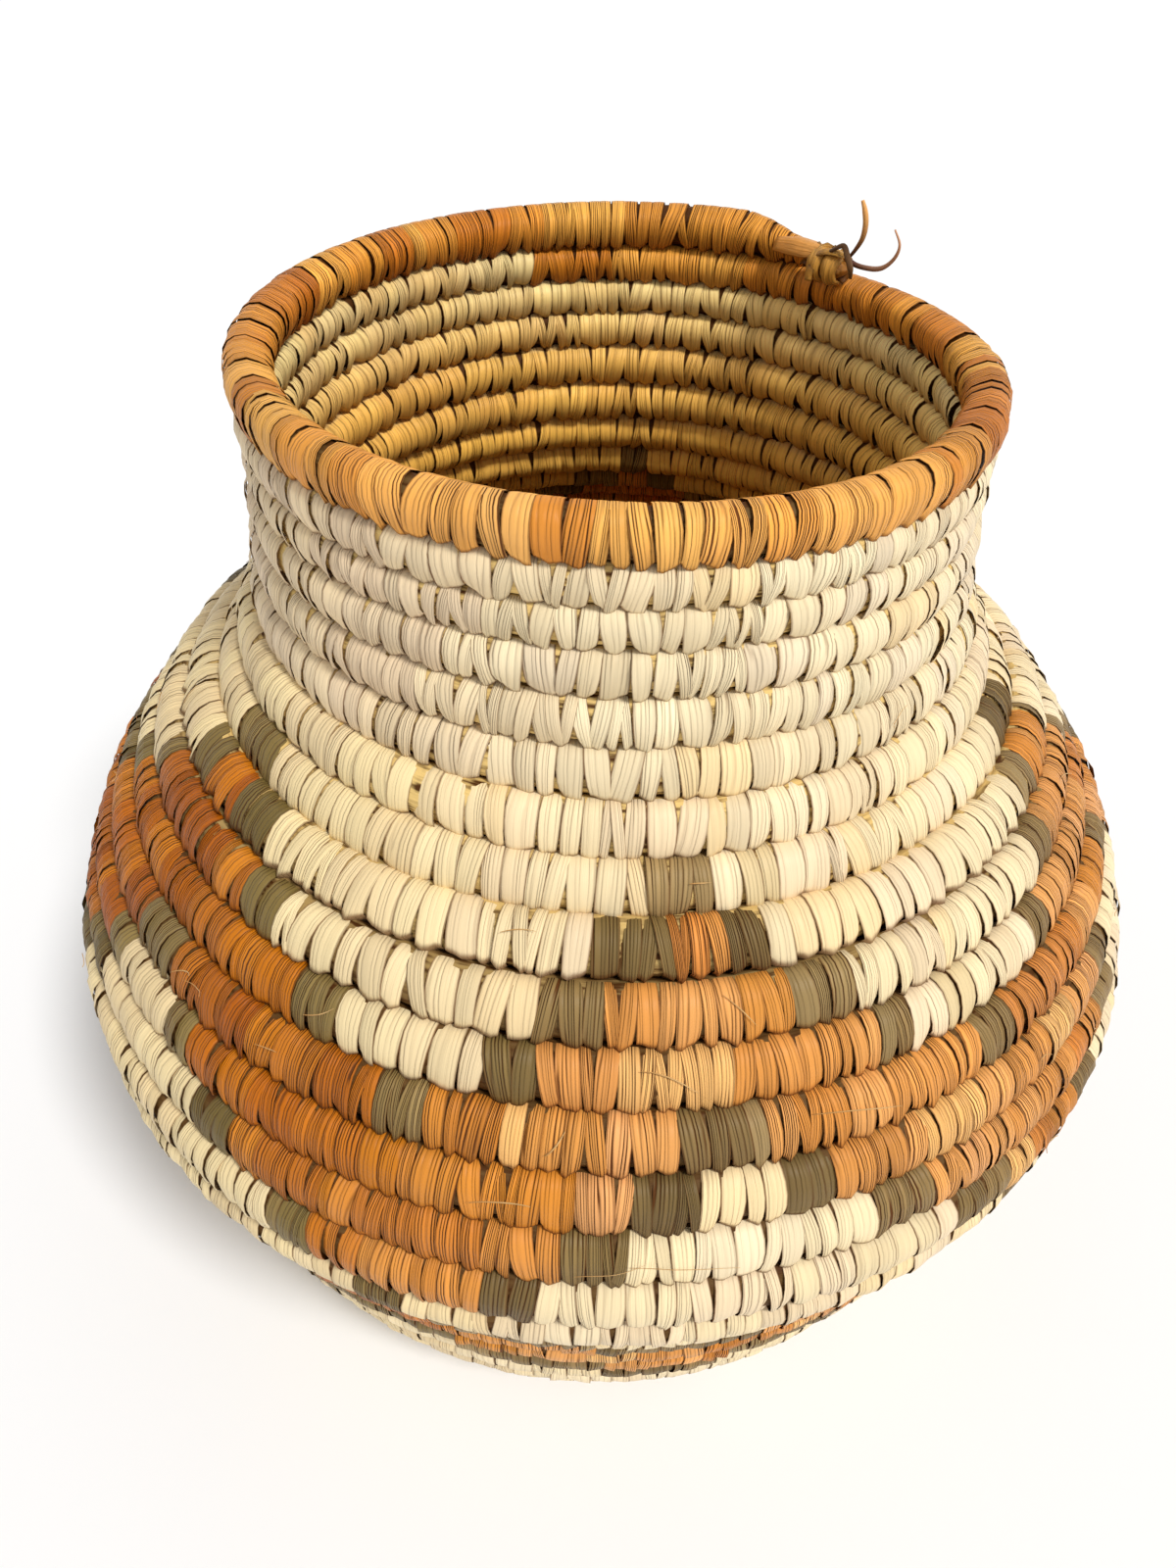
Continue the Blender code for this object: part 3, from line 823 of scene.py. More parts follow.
    def grow(self, name: str, points: bpy.types.Mesh) -> bpy.types.Object:
        """Run the tree on a mesh of stitch points and keep the result as a plain mesh.

        Args:
            name: The finished piece's name.
            points: One vertex per stitch, with the stitch attributes.

        Returns:
            The finished piece.
        """
        seed = placed(name + "_points", points)
        modifier = seed.modifiers.new("stitches", "NODES")
        modifier.node_group = self.tree
        for key, value in self.values.items():
            modifier[self.sockets[key]] = value
        bpy.context.view_layer.update()
        mesh = bpy.data.meshes.new_from_object(seed.evaluated_get(bpy.context.evaluated_depsgraph_get()))
        seed.modifiers.clear()
        bpy.data.objects.remove(seed)
        mesh.name = name
        return placed(name, mesh)


@dataclass(frozen=True)
class StripFinish:
    """Dry palm strip: pleated along its length, with painted shade in its folds, satin.

    A band gives the two places between which something sets in, as shares of half the strip's width
    or height, or as levels of a noise. The levels of the painted golden shade inside the jar are heights in
    the jar, in metres.
    """

    name: str = "palm_strip"
    ridges: float = 2.2
    uneven: float = 2.6
    ridge_change: float = 0.30
    fibre_change: float = 0.26
    # The depths and darks below are strengths of painted shade
    crease_depth: float = 0.18
    crack_depth: float = 0.76
    edge_dark: float = 0.95
    tip_dark: float = 0.8
    stain: float = 0.14
    stain_scale: float = 38.0
    roughness: float = 0.46
    relief: float = 0.00024
    # shade and warmth: the colour that painted shade darkens a strip towards
    shade: Colour = (112, 66, 18)
    warmth: float = 0.45
    # inner and the deeper gold after it: the tint painted on faces inside the jar, as warm shade
    inner: Colour = (250, 248, 206)
    inner_shade_gold: Colour = (252, 210, 100)
    # Painted light: how much the faces turned into the jar are brightened
    inner_painted_light: float = 0.26
    specular: float = 0.22
    inner_dark: float = 0.5
    tooth_dark: float = 0.5
    low_dark: float = 0.30
    seed_step: float = 53.0
    folded_band: tuple[float, float] = (0.8, 1.6)
    valley_width: float = 0.44
    valley_band: tuple[float, float] = (0.36, 0.60)
    crack_band: tuple[float, float] = (0.42, 0.58)
    edge_band: tuple[float, float] = (0.84, 0.98)
    hem_band: tuple[float, float] = (0.79, 0.88)
    inner_hem_band: tuple[float, float] = (0.42, 0.95)
    low_band: tuple[float, float] = (0.40, 0.90)
    inner_band: tuple[float, float] = (0.30, 0.16)
    tooth_slip: float = 0.7
    tooth_band: tuple[float, float] = (0.2, 0.04)
    patch_scale: float = 42.0
    patch_band: tuple[float, float] = (0.42, 0.62)
    warm_shade_levels: tuple[float, float] = (0.268, 0.232)
    dim_levels: tuple[float, float] = (0.155, 0.195)

    def material(self) -> bpy.types.Material:
        """Build the strip material, which takes its dye from the stitches.

        Returns:
            The material.
        """
        made = bpy.data.materials.new(self.name)
        desk = cleared(made)
        u, v = desk.mapped()
        across = v * 2.0 - 1.0
        seed, place_on = desk.carried("seed") * self.seed_step, desk.place()
        folds, tint = desk.carried("folds"), desk.carried("tint", "Color")
        folded = desk.ease(folds, *self.folded_band)
        inner = desk.ease(desk.math("ABSOLUTE", u - 0.25), *self.inner_band)
        fine = desk.noise(desk.combine(across * 17.0, u * 1.2, seed + 17.0), 1.0, 2.0, 0.6)
        own, hump, valley, crack = self.pleats(desk, across, u, seed, folds, folded)
        dark = self.darkness(desk, across, u, seed, inner, folded, valley, crack)
        stains = desk.noise(place_on, self.stain_scale, 3.0)
        level = 1.05 + (fine - 0.5) * self.fibre_change * (0.7 + 1.0 * folds)
        level = level + (own - 0.5) * self.ridge_change * (0.25 + 0.75 * folded)
        level = level + (stains - 0.5) * self.stain * (0.4 + 1.2 * folds)
        # Painted highlight on the pleat crowns and painted shade beside them
        level = level + (hump - 0.6) * (0.06 + 0.22 * folded)
        # Painted light brightens the faces turned into the jar
        level = level * (1.0 + inner * self.inner_painted_light)
        lit = desk.mix(1.0, tint, desk.combine(level, level, level), "MULTIPLY")
        # Painted warm shade: the faces turned into the jar are tinted gold
        golden = desk.mix(1.0, lit, self.gold(desk, place_on), "MULTIPLY")
        lit = desk.mix(inner * desk.carried("inner_gold_share"), lit, golden)
        # The painted shade colour, mixed in where the darkness is
        warm = desk.mix(self.warmth, linear(self.shade), tint, "MULTIPLY")
        height = hump * 0.55 * folds + fine * 0.28 - valley * 0.35
        rough = self.roughness + (fine - 0.5) * 0.3 + dark * 0.3
        desk.surface(desk.mix(dark, lit, warm), rough, self.specular, desk.bump(height, self.relief))
        return made

    def pleats(self, desk: NodeDesk, across: Term, u: Term, seed: Term, folds: Term,
               folded: Term) -> tuple[Term, Term, Term, Term]:
        """The lengthwise pleats of a strip, each of its own width and tone.

        Args:
            desk: The material's desk.
            across: The place across the strip, from -1 to 1.
            u: The place round the coil.
            seed: The strip's own number.
            folds: How strongly it is pleated.
            folded: The same, as a share.

        Returns:
            A pleat's own random number, its height, and the valleys and cracks between pleats.
        """
        uneven = (desk.noise(desk.combine(across * 1.3, u * 1.1, seed), 1.0, 1.0) - 0.5) * self.uneven
        place = across * self.ridges * (0.7 + 0.4 * folds) + uneven + seed
        cell = desk.math("FLOOR", place)
        part = place - cell
        near = desk.math("MINIMUM", part, 1.0 - part) * 2.0
        strength = desk.noise(desk.combine(place * 0.9, u * 2.2, seed + 5.0), 1.0, 1.0)
        deep = desk.ease(strength, *self.valley_band)
        valley = (1.0 - desk.ease(near, 0.0, self.valley_width)) * deep * folds
        crack = valley * desk.ease(strength, *self.crack_band) * folded
        return desk.grain(cell), 1.0 - (1.0 - near) ** 2.4, valley, crack

    def darkness(self, desk: NodeDesk, across: Term, u: Term, seed: Term, inner: Term, folded: Term,
                 valley: Term, crack: Term) -> Term:
        """How much painted shade darkens a strip: in its creases, at its edges and hem, on its lower part
        and, on its inner side, between its teeth.

        Args:
            desk: The material's desk.
            across: The place across the strip, from -1 to 1.
            u: The place round the coil.
            seed: The strip's own number.
            inner: Where the strip faces into the jar.
            folded: How strongly it is pleated, as a share.
            valley: The valleys between its pleats.
            crack: The cracks between its pleats.

        Returns:
            A share from 0 to 1.
        """
        drop = desk.math("ABSOLUTE", u - 0.5) * 2.0
        # Painted shade in the thin gaps where strips meet, darker on some strips than others
        edge = desk.ease(desk.math("ABSOLUTE", across), *self.edge_band) * (0.45 + 0.55 * desk.grain(seed))
        # Painted shade: a dark line that splits the inner face of each strip into two teeth
        slip = (desk.grain(seed + 3.0) - 0.5) * self.tooth_slip
        tooth = desk.ease(desk.math("ABSOLUTE", across - slip), *self.tooth_band)
        # Painted shade over the lower inner face and along the hem, where each stitch dives into the gap
        # between rows
        inner_hem = desk.ease(drop, *self.inner_hem_band) * inner * self.inner_dark
        hem = desk.math("MAXIMUM", desk.ease(drop, *self.hem_band) * self.tip_dark, inner_hem)
        # Painted shade in the valleys and cracks between pleats, whose relief is only a bump
        crease = valley * self.crease_depth + crack * self.crack_depth
        dark = desk.math("MAXIMUM", crease, edge * self.edge_dark)
        # Painted shade over the lower part of folded strips, which face down away from the light
        below = desk.ease(drop, *self.low_band) * folded * self.low_dark
        dark = desk.math("MAXIMUM", dark + below * (1.0 - dark), hem)
        return desk.math("MINIMUM", desk.math("MAXIMUM", dark, tooth * inner * self.tooth_dark), 1.0)

    def gold(self, desk: NodeDesk, place_on: Term) -> Term:
        """The golden tint painted on the strips inside the jar, in patches and below the neck, which stands
        for the warm shade there.

        Args:
            desk: The material's desk.
            place_on: The place in the object.

        Returns:
            A colour that the strip's own is multiplied by.
        """
        patches = desk.ease(desk.noise(place_on, self.patch_scale, 2.0), *self.patch_band)
        _, _, level_up = desk.separate(place_on)
        # The painted golden shade is strongest below the neck and weaker low down, with patches of uneven
        # tone
        warm_shade_share = desk.math("MAXIMUM", patches * 0.35, desk.ease(level_up, *self.warm_shade_levels))
        warm_shade_share = warm_shade_share * (0.25 + 0.75 * desk.ease(level_up, *self.dim_levels))
        return desk.mix(warm_shade_share, linear(self.inner), linear(self.inner_shade_gold))


@dataclass(frozen=True)
class StrawFinish:
    """The bundle inside the wrap: golden split straw, with painted shade between its stems, on its inner
    side and low on the jar.

    Levels are heights in the jar and lengths run along the coil, both in metres. The first stretch,
    which is the rim, has more painted shade.
    """

    name: str = "straw"
    # light is the straw's own colour; dark is mostly painted shade
    light: Colour = (236, 200, 126)
    dark: Colour = (78, 44, 12)
    specular: float = 0.12
    light_levels: tuple[float, float] = (0.175, 0.205)
    low_share: float = 0.08
    rim_lengths: tuple[float, float] = (0.50, 0.52)
    rim_share: float = 0.12
    roughness: float = 0.6
    relief: float = 0.0005
    outer_band: tuple[float, float] = (0.05, 0.55)
    stem_band: tuple[float, float] = (0.36, 0.56)

    def material(self) -> bpy.types.Material:
        """Build the straw material.

        Returns:
            The material.
        """
        made = bpy.data.materials.new(self.name)
        desk = cleared(made)
        u, v = desk.mapped()
        stems = desk.noise(desk.combine(u * 26.0, v * 90.0, 1.0), 1.0, 2.0)
        patches = desk.noise(desk.combine(u * 5.0, v * 220.0, 7.0), 1.0, 2.0)
        _, _, level = desk.separate(desk.place())
        # Painted shade: the straw goes dark on the bundle's inner side, low on the jar and along the rim;
        # between stems it is partly its own uneven tone
        outer = desk.ease(desk.math("COSINE", u * (2.0 * math.pi)), *self.outer_band)
        share = desk.ease(stems * 0.7 + patches * 0.3, *self.stem_band) * outer
        share = share * (self.low_share + (1.0 - self.low_share) * desk.ease(level, *self.light_levels))
        share = share * (self.rim_share + (1.0 - self.rim_share) * desk.ease(v, *self.rim_lengths))
        colour = desk.mix(share, linear(self.dark), linear(self.light))
        desk.surface(colour, self.roughness, self.specular, desk.bump(stems, self.relief))
        return made


@dataclass
class Stitch:
    """One stitch: where it sits on the coil, its dye, and how it differs from its neighbours."""

    turn: float
    half: float
    tint: tuple
    lean: float
    lift: float
    pinch: float
    tilt: float
    folds: float
    inner_gold_share: float
    seed: float


@dataclass
class Wrapping:
    """The strips sewn round the whole coil, one after another, in seven pieces.

    Near the base's middle a strip is no wider than a share of the radius there. A fork is two
    narrow strips that meet at the foot or the head. A run is how many stitches share one strip.
    """

    path: CoilPath
    pattern: Pattern
    seed: int = 4
    first_turn: float = 0.004
    last_turn: float = 32.86
    look_ahead: float = 0.0022
    middle_share: float = 0.45
    middle_width: float = 0.0018
    fill: float = 1.05
    lean: float = 0.00055
    lift: float = 0.00018
    tilt: float = 0.00022
    run: tuple[int, int] = (1, 4)
    depth_spread: float = 0.16
    level_spread: float = 0.05
    pinch_range: tuple[float, float] = (0.1, 2.0)
    folds_range: tuple[float, float] = (0.6, 1.3)
    fork_from: float = 0.8
    fork_half: float = 0.28
    fork_spread: float = 0.17
    regions: tuple = (("neck", 1, 4), ("shoulder", 5, 6), ("belly", 11, 4), ("lower", 15, 9),
                      ("base", 24, 8))
    pieces: tuple = (
        ("rim_wrap", 0, 1, "rust_palm"),
        ("neck_wrap", 1, 5, "cream_palm"),
        ("shoulder_wrap", 5, 11, "cream_palm"),
        ("belly_wrap", 11, 15, "rust_palm"),
        ("lower_wrap", 15, 20, "cream_palm"),
        ("foot_wrap", 20, 24, "cream_palm"),
        ("base_wrap", 24, 33, "cream_palm"),
    )

    def node_of(self, turn: int) -> str:
        """The CAD node of a turn.

        Args:
            turn: The turn, counted from the rim.

        Returns:
            The node's name.
        """
        if turn == 0:
            return "rim_coil"
        if turn == self.path.turns - 1:
            return "base_start"
        for name, first, count in self.regions:
            if first <= turn < first + count:
                return f"{name}_coil_{turn - first + 1:02d}"
        raise ValueError(f"turn {turn} has no node")

    def stitches(self) -> list[Stitch]:
        """Sew along the coil from the rim's end, and return the stitches in order.

        Returns:
            The stitches.
        """
        chance = random.Random(self.seed)
        made, turn = [], self.first_turn
        colour, left, last_palm = (1.0, 1.0, 1.0), 0, None
        while turn < self.last_turn:
            radius = self.path.radius(turn)
            girth = 2 * math.pi * radius
            middle = turn + self.look_ahead / girth
            azimuth = self.path.azimuth(middle)
            palm = self.pattern.dye(int(middle), azimuth)
            dye = DYES[palm]
            width = dye.width * (1.0 + dye.spread * chance.uniform(-1.0, 1.0))
            width = min(width, self.middle_share * radius + self.middle_width)
            share = width / girth
            if left <= 0 or palm is not last_palm:
                colour = self.strip_colour(palm, azimuth, chance)
                left = chance.randint(*self.run)
            left, last_palm = left - 1, palm
            place = turn + share / 2
            if chance.random() < dye.forks and width > self.fork_from * dye.width:
                foot = chance.choice((-1.0, 1.0))
                for side in (-0.25, 0.25):
                    lean = -4.0 * side * foot * self.fork_spread * share
                    half = share * self.fork_half
                    made.append(self.stitch(place + side * share, half, palm, colour, lean, chance))
            else:
                lean = chance.gauss(0.0, self.lean) / girth
                made.append(self.stitch(place, share / 2 * self.fill, palm, colour, lean, chance))
            turn += share
        return made

    def strip_colour(self, palm: Palm, azimuth: float, chance: random.Random) -> Colour:
        """The colour of a new strip: a light one, a deeper one, or between them; the deeper share is partly
        painted shade.

        Args:
            palm: Its dye.
            azimuth: The compass angle in degrees.
            chance: The seeded random source.

        Returns:
            The colour as seen.
        """
        dye, depth = DYES[palm], chance.gauss(self.pattern.depth(palm, azimuth), self.depth_spread)
        depth = min(max(depth, 0.0), 1.0)
        # The deeper colour is partly painted shade
        light, deep = chance.choices(dye.colours, dye.shares)[0], chance.choice(dye.deep)
        return tuple(a + (b - a) * depth for a, b in zip(light, deep))

    def stitch(self, turn: float, half: float, palm: Palm, colour: Colour, lean: float,
               chance: random.Random) -> Stitch:
        """One stitch, with what chance gives it.

        Args:
            turn: Where its middle lies along the coil.
            half: Half its width, as a share of the turn.
            palm: Its dye.
            colour: Its colour as seen.
            lean: How far it leans at its foot, as a share of the turn.
            chance: The seeded random source.

        Returns:
            The stitch.
        """
        dye, level = DYES[palm], chance.gauss(1.0, self.level_spread)
        return Stitch(
            turn=turn, half=half, tint=(*(c * level for c in linear(colour)[:3]), 1.0), lean=lean,
            lift=chance.gauss(0.0, self.lift), pinch=dye.pinch * chance.uniform(*self.pinch_range),
            tilt=chance.gauss(0.0, self.tilt), folds=dye.folds * chance.uniform(*self.folds_range),
            inner_gold_share=dye.inner_gold_share, seed=chance.random(),
        )

    def points(self, name: str, chosen: list[Stitch]) -> bpy.types.Mesh:
        """A mesh with one vertex per stitch that carries what the tree needs.

        Args:
            name: The name of the piece that they become.
            chosen: The stitches.

        Returns:
            The mesh.
        """
        mesh = bpy.data.meshes.new(name + "_points")
        mesh.from_pydata([(0.0, 0.0, 0.0)] * len(chosen), [], [])
        for key in ("turn", "half", "lean", "lift", "pinch", "tilt", "folds", "inner_gold_share", "seed"):
            attribute = mesh.attributes.new(key, "FLOAT", "POINT")
            attribute.data.foreach_set("value", [getattr(stitch, key) for stitch in chosen])
        tint = mesh.attributes.new("tint", "FLOAT_COLOR", "POINT")
        tint.data.foreach_set("color", [part for stitch in chosen for part in stitch.tint])
        return mesh

    def build(self) -> list[bpy.types.Object]:
        """Sew every piece and lay it on the frame in place of its turns.

        Returns:
            The finished pieces.
        """
        guide = self.path.guide()
        tree = StitchTree(StitchShape(), self.path, guide, StripFinish().material())
        sewn, made = self.stitches(), []
        for name, first, last, slot in self.pieces:
            chosen = [stitch for stitch in sewn if first <= stitch.turn < last]
            piece = tree.grow(name, self.points(name, chosen))
            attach(piece, "root")
            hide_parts(*[self.node_of(turn) for turn in range(first, last)])
            made.append(piece)
            log.info("%s: %d stitches, %d faces", name, len(chosen), len(piece.data.polygons))
        bpy.data.objects.remove(guide)
        return made


@dataclass
class Bundle:
    """The grass bundle inside the wrap, one closed tube from the rim's end to the base's middle."""

    path: CoilPath
    sides: int = 16
    stations: int = 48
    inset: float = 0.0006
    inner_inset: float = 0.0012
    inner_height: float = 0.82
    reach: float = 0.0001
    power: float = 0.86
    inner_from: float = -0.1
    floor_gap: float = 0.0008
    end_turn: float = 32.9

    def build(self) -> bpy.types.Object:
        """Make the tube, cap it and dress it in straw.

        Returns:
            The finished bundle.
        """
        count = int(self.end_turn * self.stations)
        turns = [self.end_turn * i / count for i in range(count + 1)]
        verts, faces, maps, lengths = [], [], [], [0.0]
        for i, turn in enumerate(turns):
            if i:
                lengths.append(lengths[-1] + 2 * math.pi * self.path.radius(turn) * (turn - turns[i - 1]))
            half, girth = self.path.height(turn) / 2 + self.reach, self.path.girth(turn) / 2
            for side in range(self.sides):
                angle = 2 * math.pi * side / self.sides
                way = math.cos(angle), math.sin(angle)
                out, up = (math.copysign(abs(v) ** self.power, v) for v in way)
                rise = half if turn > 1.0 or up > 0.0 else half - self.reach - self.inset
                rise *= self.inner_height if out < self.inner_from else 1.0
                thick = girth - (self.inset if out > 0.0 else self.inner_inset)
                point = self.path.point(turn, thick * out, rise * up)
                verts.append((point.x, point.y, max(point.z, self.floor_gap)))
        for i in range(count):
            for side in range(self.sides):
                after = (side + 1) % self.sides
                a, b = i * self.sides, (i + 1) * self.sides
                faces.append((a + side, b + side, b + after, a + after))
                (u, next_u), (v, next_v) = (side / self.sides, (side + 1) / self.sides), lengths[i:i + 2]
                maps.append([(u, v), (u, next_v), (next_u, next_v), (next_u, v)])
        faces.append(tuple(range(self.sides)))
        faces.append(tuple(count * self.sides + side for side in reversed(range(self.sides))))
        maps += [[(0.0, 0.0)] * self.sides, [(0.0, 0.0)] * self.sides]
        return plain_piece("bundle", [(verts, faces, maps)], StrawFinish().material(), "gold_straw")


@dataclass(frozen=True)
class RibbonFinish:
    """A loose ribbon of palm, from one colour at its root to another at its tip, with fine fibres."""

    name: str
    root: Colour
    tip: Colour
    change: float = 0.35
    roughness: float = 0.42
    relief: float = 0.00012
    specular: float = 0.25

    def material(self) -> bpy.types.Material:
        """Build the ribbon material.

        Returns:
            The material.
        """
        made = bpy.data.materials.new(self.name)
        desk = cleared(made)
        along, across = desk.mapped()
        fibres = desk.noise(desk.combine(across * 24.0, along * 1.5, 2.0), 1.0, 3.0, 0.65)
        patches = desk.noise(desk.combine(across * 2.0, along * 5.0, 9.0), 1.0, 2.0)
        level = 1.0 + (fibres - 0.5) * self.change * 2.0 + (patches - 0.5) * self.change
        base = desk.mix(desk.ease(along, 0.05, 0.85), linear(self.root), linear(self.tip))
        colour = desk.mix(1.0, base, desk.combine(level, level, level), "MULTIPLY")
        desk.surface(colour, self.roughness, self.specular, desk.bump(fibres, self.relief))
        return made


@dataclass
class Ribbon:
    """A strip of palm swept along a line: flat or cupped, closed all round and at both ends."""

    points: list[Vector]
    widths: list[float]
    facing: Vector
    thickness: float = 0.0003
    cup: float = 0.0
    columns: int = 4
    spin: float = 0.0

    def line(self, steps: int) -> list[Vector]:
        """The line through the points, eased round their corners.

        Args:
            steps: How many places to return for each stretch.

        Returns:
            Places along the line.
        """
        ends = [2 * self.points[0] - self.points[1], *self.points, 2 * self.points[-1] - self.points[-2]]
        made = []
        for before, start, end, after in zip(ends[:-3], ends[1:-2], ends[2:-1], ends[3:]):
            for step in range(steps):
                s = step / steps
                bend = 2 * before - 5 * start + 4 * end - after
                twist = 3 * start - before - 3 * end + after
                made.append(0.5 * (2 * start + (end - before) * s + bend * s * s + twist * s**3))
        return [*made, self.points[-1].copy()]

    def parts(self, steps: int) -> Parts:
        """Vertices, faces and the map of each face's corners.

        Args:
            steps: How finely each stretch between two points is cut.

        Returns:
            The vertices, the faces and the mapped corners.
        """
        line = self.line(steps)
        count, ring = len(line), 2 * (self.columns + 1)
        verts, faces, maps = [], [], []
        for i, middle in enumerate(line):
            share = i / (count - 1)
            ahead = (line[min(i + 1, count - 1)] - line[max(i - 1, 0)]).normalized()
            turned = Matrix.Rotation(self.spin * share, 3, ahead)
            across = (turned @ self.facing).cross(ahead).normalized()
            normal = ahead.cross(across).normalized()
            width = float(np.interp(share, np.linspace(0, 1, len(self.widths)), self.widths))
            sides = [(2.0 * c / self.columns - 1.0, 0.5) for c in range(self.columns + 1)]
            sides += [(x, -0.5) for x, _ in reversed(sides)]
            for x, level in sides:
                rise = self.cup * width * (1.0 - x * x) + level * self.thickness * (1.0 - 0.6 * abs(x))
                verts.append(middle + across * (x * width / 2) + normal * rise)
        for i in range(count - 1):
            for k in range(ring):
                after = (k + 1) % ring
                faces.append((i * ring + k, (i + 1) * ring + k, (i + 1) * ring + after, i * ring + after))
                a, b = k / ring, (k + 1) / ring
                maps.append([(i / count, a), ((i + 1) / count, a), ((i + 1) / count, b), (i / count, b)])
        last = (count - 1) * ring
        for k in range(self.columns):
            faces.append((k, k + 1, ring - 2 - k, ring - 1 - k))
            faces.append((last + ring - 1 - k, last + ring - 2 - k, last + k + 1, last + k))
            maps += [[(0.0, 0.0)] * 4, [(1.0, 0.0)] * 4]
        return verts, faces, maps


def plain_piece(name: str, parts: list[Parts], material: bpy.types.Material,
                slot: str, *nodes: str) -> bpy.types.Object:
    """Join parts into one finished piece, which may stand for CAD nodes.

    Args:
        name: The piece's name.
        parts: Vertices, faces and mapped corners of each part.
        material: What it is made of.
        slot: Not used.
        nodes: The CAD nodes that it stands for, if any.

    Returns:
        The piece.
    """
    verts, faces, maps = [], [], []
    for part_verts, part_faces, part_maps in parts:
        shift = len(verts)
        verts += part_verts
        faces += [tuple(index + shift for index in face) for face in part_faces]
        maps += part_maps
    mesh = bpy.data.meshes.new(name)
    mesh.from_pydata(verts, [], faces)
    layer = mesh.uv_layers.new(name="UVMap")
    layer.data.foreach_set("uv", [value for face in maps for corner in face for value in corner])
    mesh.shade_smooth()
    mesh.materials.append(material)
    piece = placed(name, mesh)
    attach(piece, "root")
    if nodes:
        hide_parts(*nodes)
    log.info("%s: %d faces", name, len(mesh.polygons))
    return piece


@dataclass
class RimEnd:
    """The bound end of the rim: a knot of folded golden straw, a dark tie and two loose ends.

    Places are in metres from the knot's middle: onward along the rim, up, and inward to the axis.
    """

    path: CoilPath
    knot_length: float = 0.0125
    knot_radius: float = 0.0043
    knot_tilt: float = 40.0
    knot_ahead: float = 0.0018
    seat_gap: float = 0.0003
    tie_width: float = 0.0022
    fold_width: float = 0.0034
    fold_steps: int = 12
    fold_sweep: float = 340.0
    fold_bulge: float = 0.82
    fold_radius: float = 0.86
    folds: tuple = ((-0.52, 14.0), (-0.12, -10.0), (0.28, 8.0), (0.62, -6.0))
    strand: tuple = ((-0.0072, -0.0008, 0.0010), (-0.0035, 0.0021, 0.0020), (0.0005, 0.0039, 0.0024),
                     (0.0037, 0.0044, 0.0022), (0.0059, 0.0038, 0.0016))
    tongue: tuple = ((-0.0170, 0.0012, -0.0010), (-0.0110, 0.0020, -0.0006), (-0.0062, 0.0024, 0.0),
                     (-0.0024, 0.0028, 0.0005), (0.0021, 0.0030, 0.0010))
    tab: tuple = ((-0.0012, 0.0011, 0.0035), (-0.0019, -0.0008, 0.0045), (-0.0020, -0.0032, 0.0046))
    tie: tuple = ((-0.0011, 0.0024, 0.0015), (0.0030, 0.0049, 0.0030), (0.0058, 0.0065, 0.0025),
                  (0.0082, 0.0048, 0.0036), (0.0102, 0.0025, 0.0044), (0.0104, 0.0001, 0.0040))
    long_tail: tuple = ((0.0077, 0.0041, 0.0020), (0.0096, 0.0068, 0.0022), (0.0110, 0.0096, 0.0024),
                        (0.0113, 0.0128, 0.0026), (0.0106, 0.0157, 0.0028), (0.0096, 0.0178, 0.0030))
    short_tail: tuple = ((0.0075, 0.0032, 0.0015), (0.0093, 0.0026, 0.0012), (0.0119, 0.0025, 0.0010),
                         (0.0154, 0.0030, 0.0010), (0.0182, 0.0044, 0.0012), (0.0206, 0.0072, 0.0014),
                         (0.0212, 0.0101, 0.0016), (0.0193, 0.0131, 0.0018))

    def __post_init__(self) -> None:
        """Find the knot's middle and its directions, as the CAD part has them."""
        ahead = math.degrees((self.knot_length / 2 + self.knot_ahead) / self.path.middle(1.0)[0])
        turn = 1.0 - ahead / 360.0
        angle = math.radians(self.path.azimuth(turn))
        self.radial = Vector((math.cos(angle), math.sin(angle), 0.0))
        self.onward = Vector((self.radial.y, -self.radial.x, 0.0))
        self.up = Vector((0.0, 0.0, 1.0))
        tilt = math.radians(self.knot_tilt)
        away = self.up * math.cos(tilt) - self.radial * math.sin(tilt)
        corner = self.path.girth(turn) / 2 / math.cos(math.radians(22.5))
        self.middle = self.path.point(turn) + away * (corner + self.knot_radius + self.seat_gap)

    def place(self, spot: tuple) -> Vector:
        """A place near the knot, in the row frame."""
        return self.middle + self.onward * spot[0] + self.up * spot[1] - self.radial * spot[2]

    def strip(self, spots: tuple, widths: list[float], inward: float, up: float, thickness: float,
              cup: float, columns: int = 4, spin: float = 0.0) -> Ribbon:
        """A ribbon through places near the knot, which faces so far inward and so far up.

        Args:
            spots: Places near the knot.
            widths: Its widths from end to end.
            inward: How far it faces the axis.
            up: How far it faces upward.
            thickness: Its thickness.
            cup: How deep its hollow is, as a share of its width.
            columns: How many faces it has across.
            spin: How far it turns on its line, in radians.

        Returns:
            The ribbon.
        """
        facing = self.up * up - self.radial * inward
        return Ribbon([self.place(spot) for spot in spots], widths, facing, thickness, cup, columns, spin)

    def fold(self, along: float, slant: float) -> Parts:
        """One ribbon folded round the knot.

        Args:
            along: Where it lies along the knot, from -1 to 1.
            slant: How far it leans, in degrees.

        Returns:
            The ribbon's parts.
        """
        radius = self.knot_radius * math.sqrt(1.0 - (self.fold_bulge * along) ** 2) * self.fold_radius
        lean = math.tan(math.radians(slant))
        points = []
        for step in range(self.fold_steps + 1):
            angle = math.radians(-self.fold_sweep / 2 + self.fold_sweep * step / self.fold_steps)
            onward = along * self.knot_length / 2 + lean * radius * math.sin(angle)
            points.append(self.place((onward, radius * math.cos(angle), radius * math.sin(angle))))
        widths = [self.fold_width * 0.7, self.fold_width, self.fold_width, self.fold_width * 0.7]
        return Ribbon(points, widths, self.onward.cross(self.up), 0.0008, 0.16).parts(2)

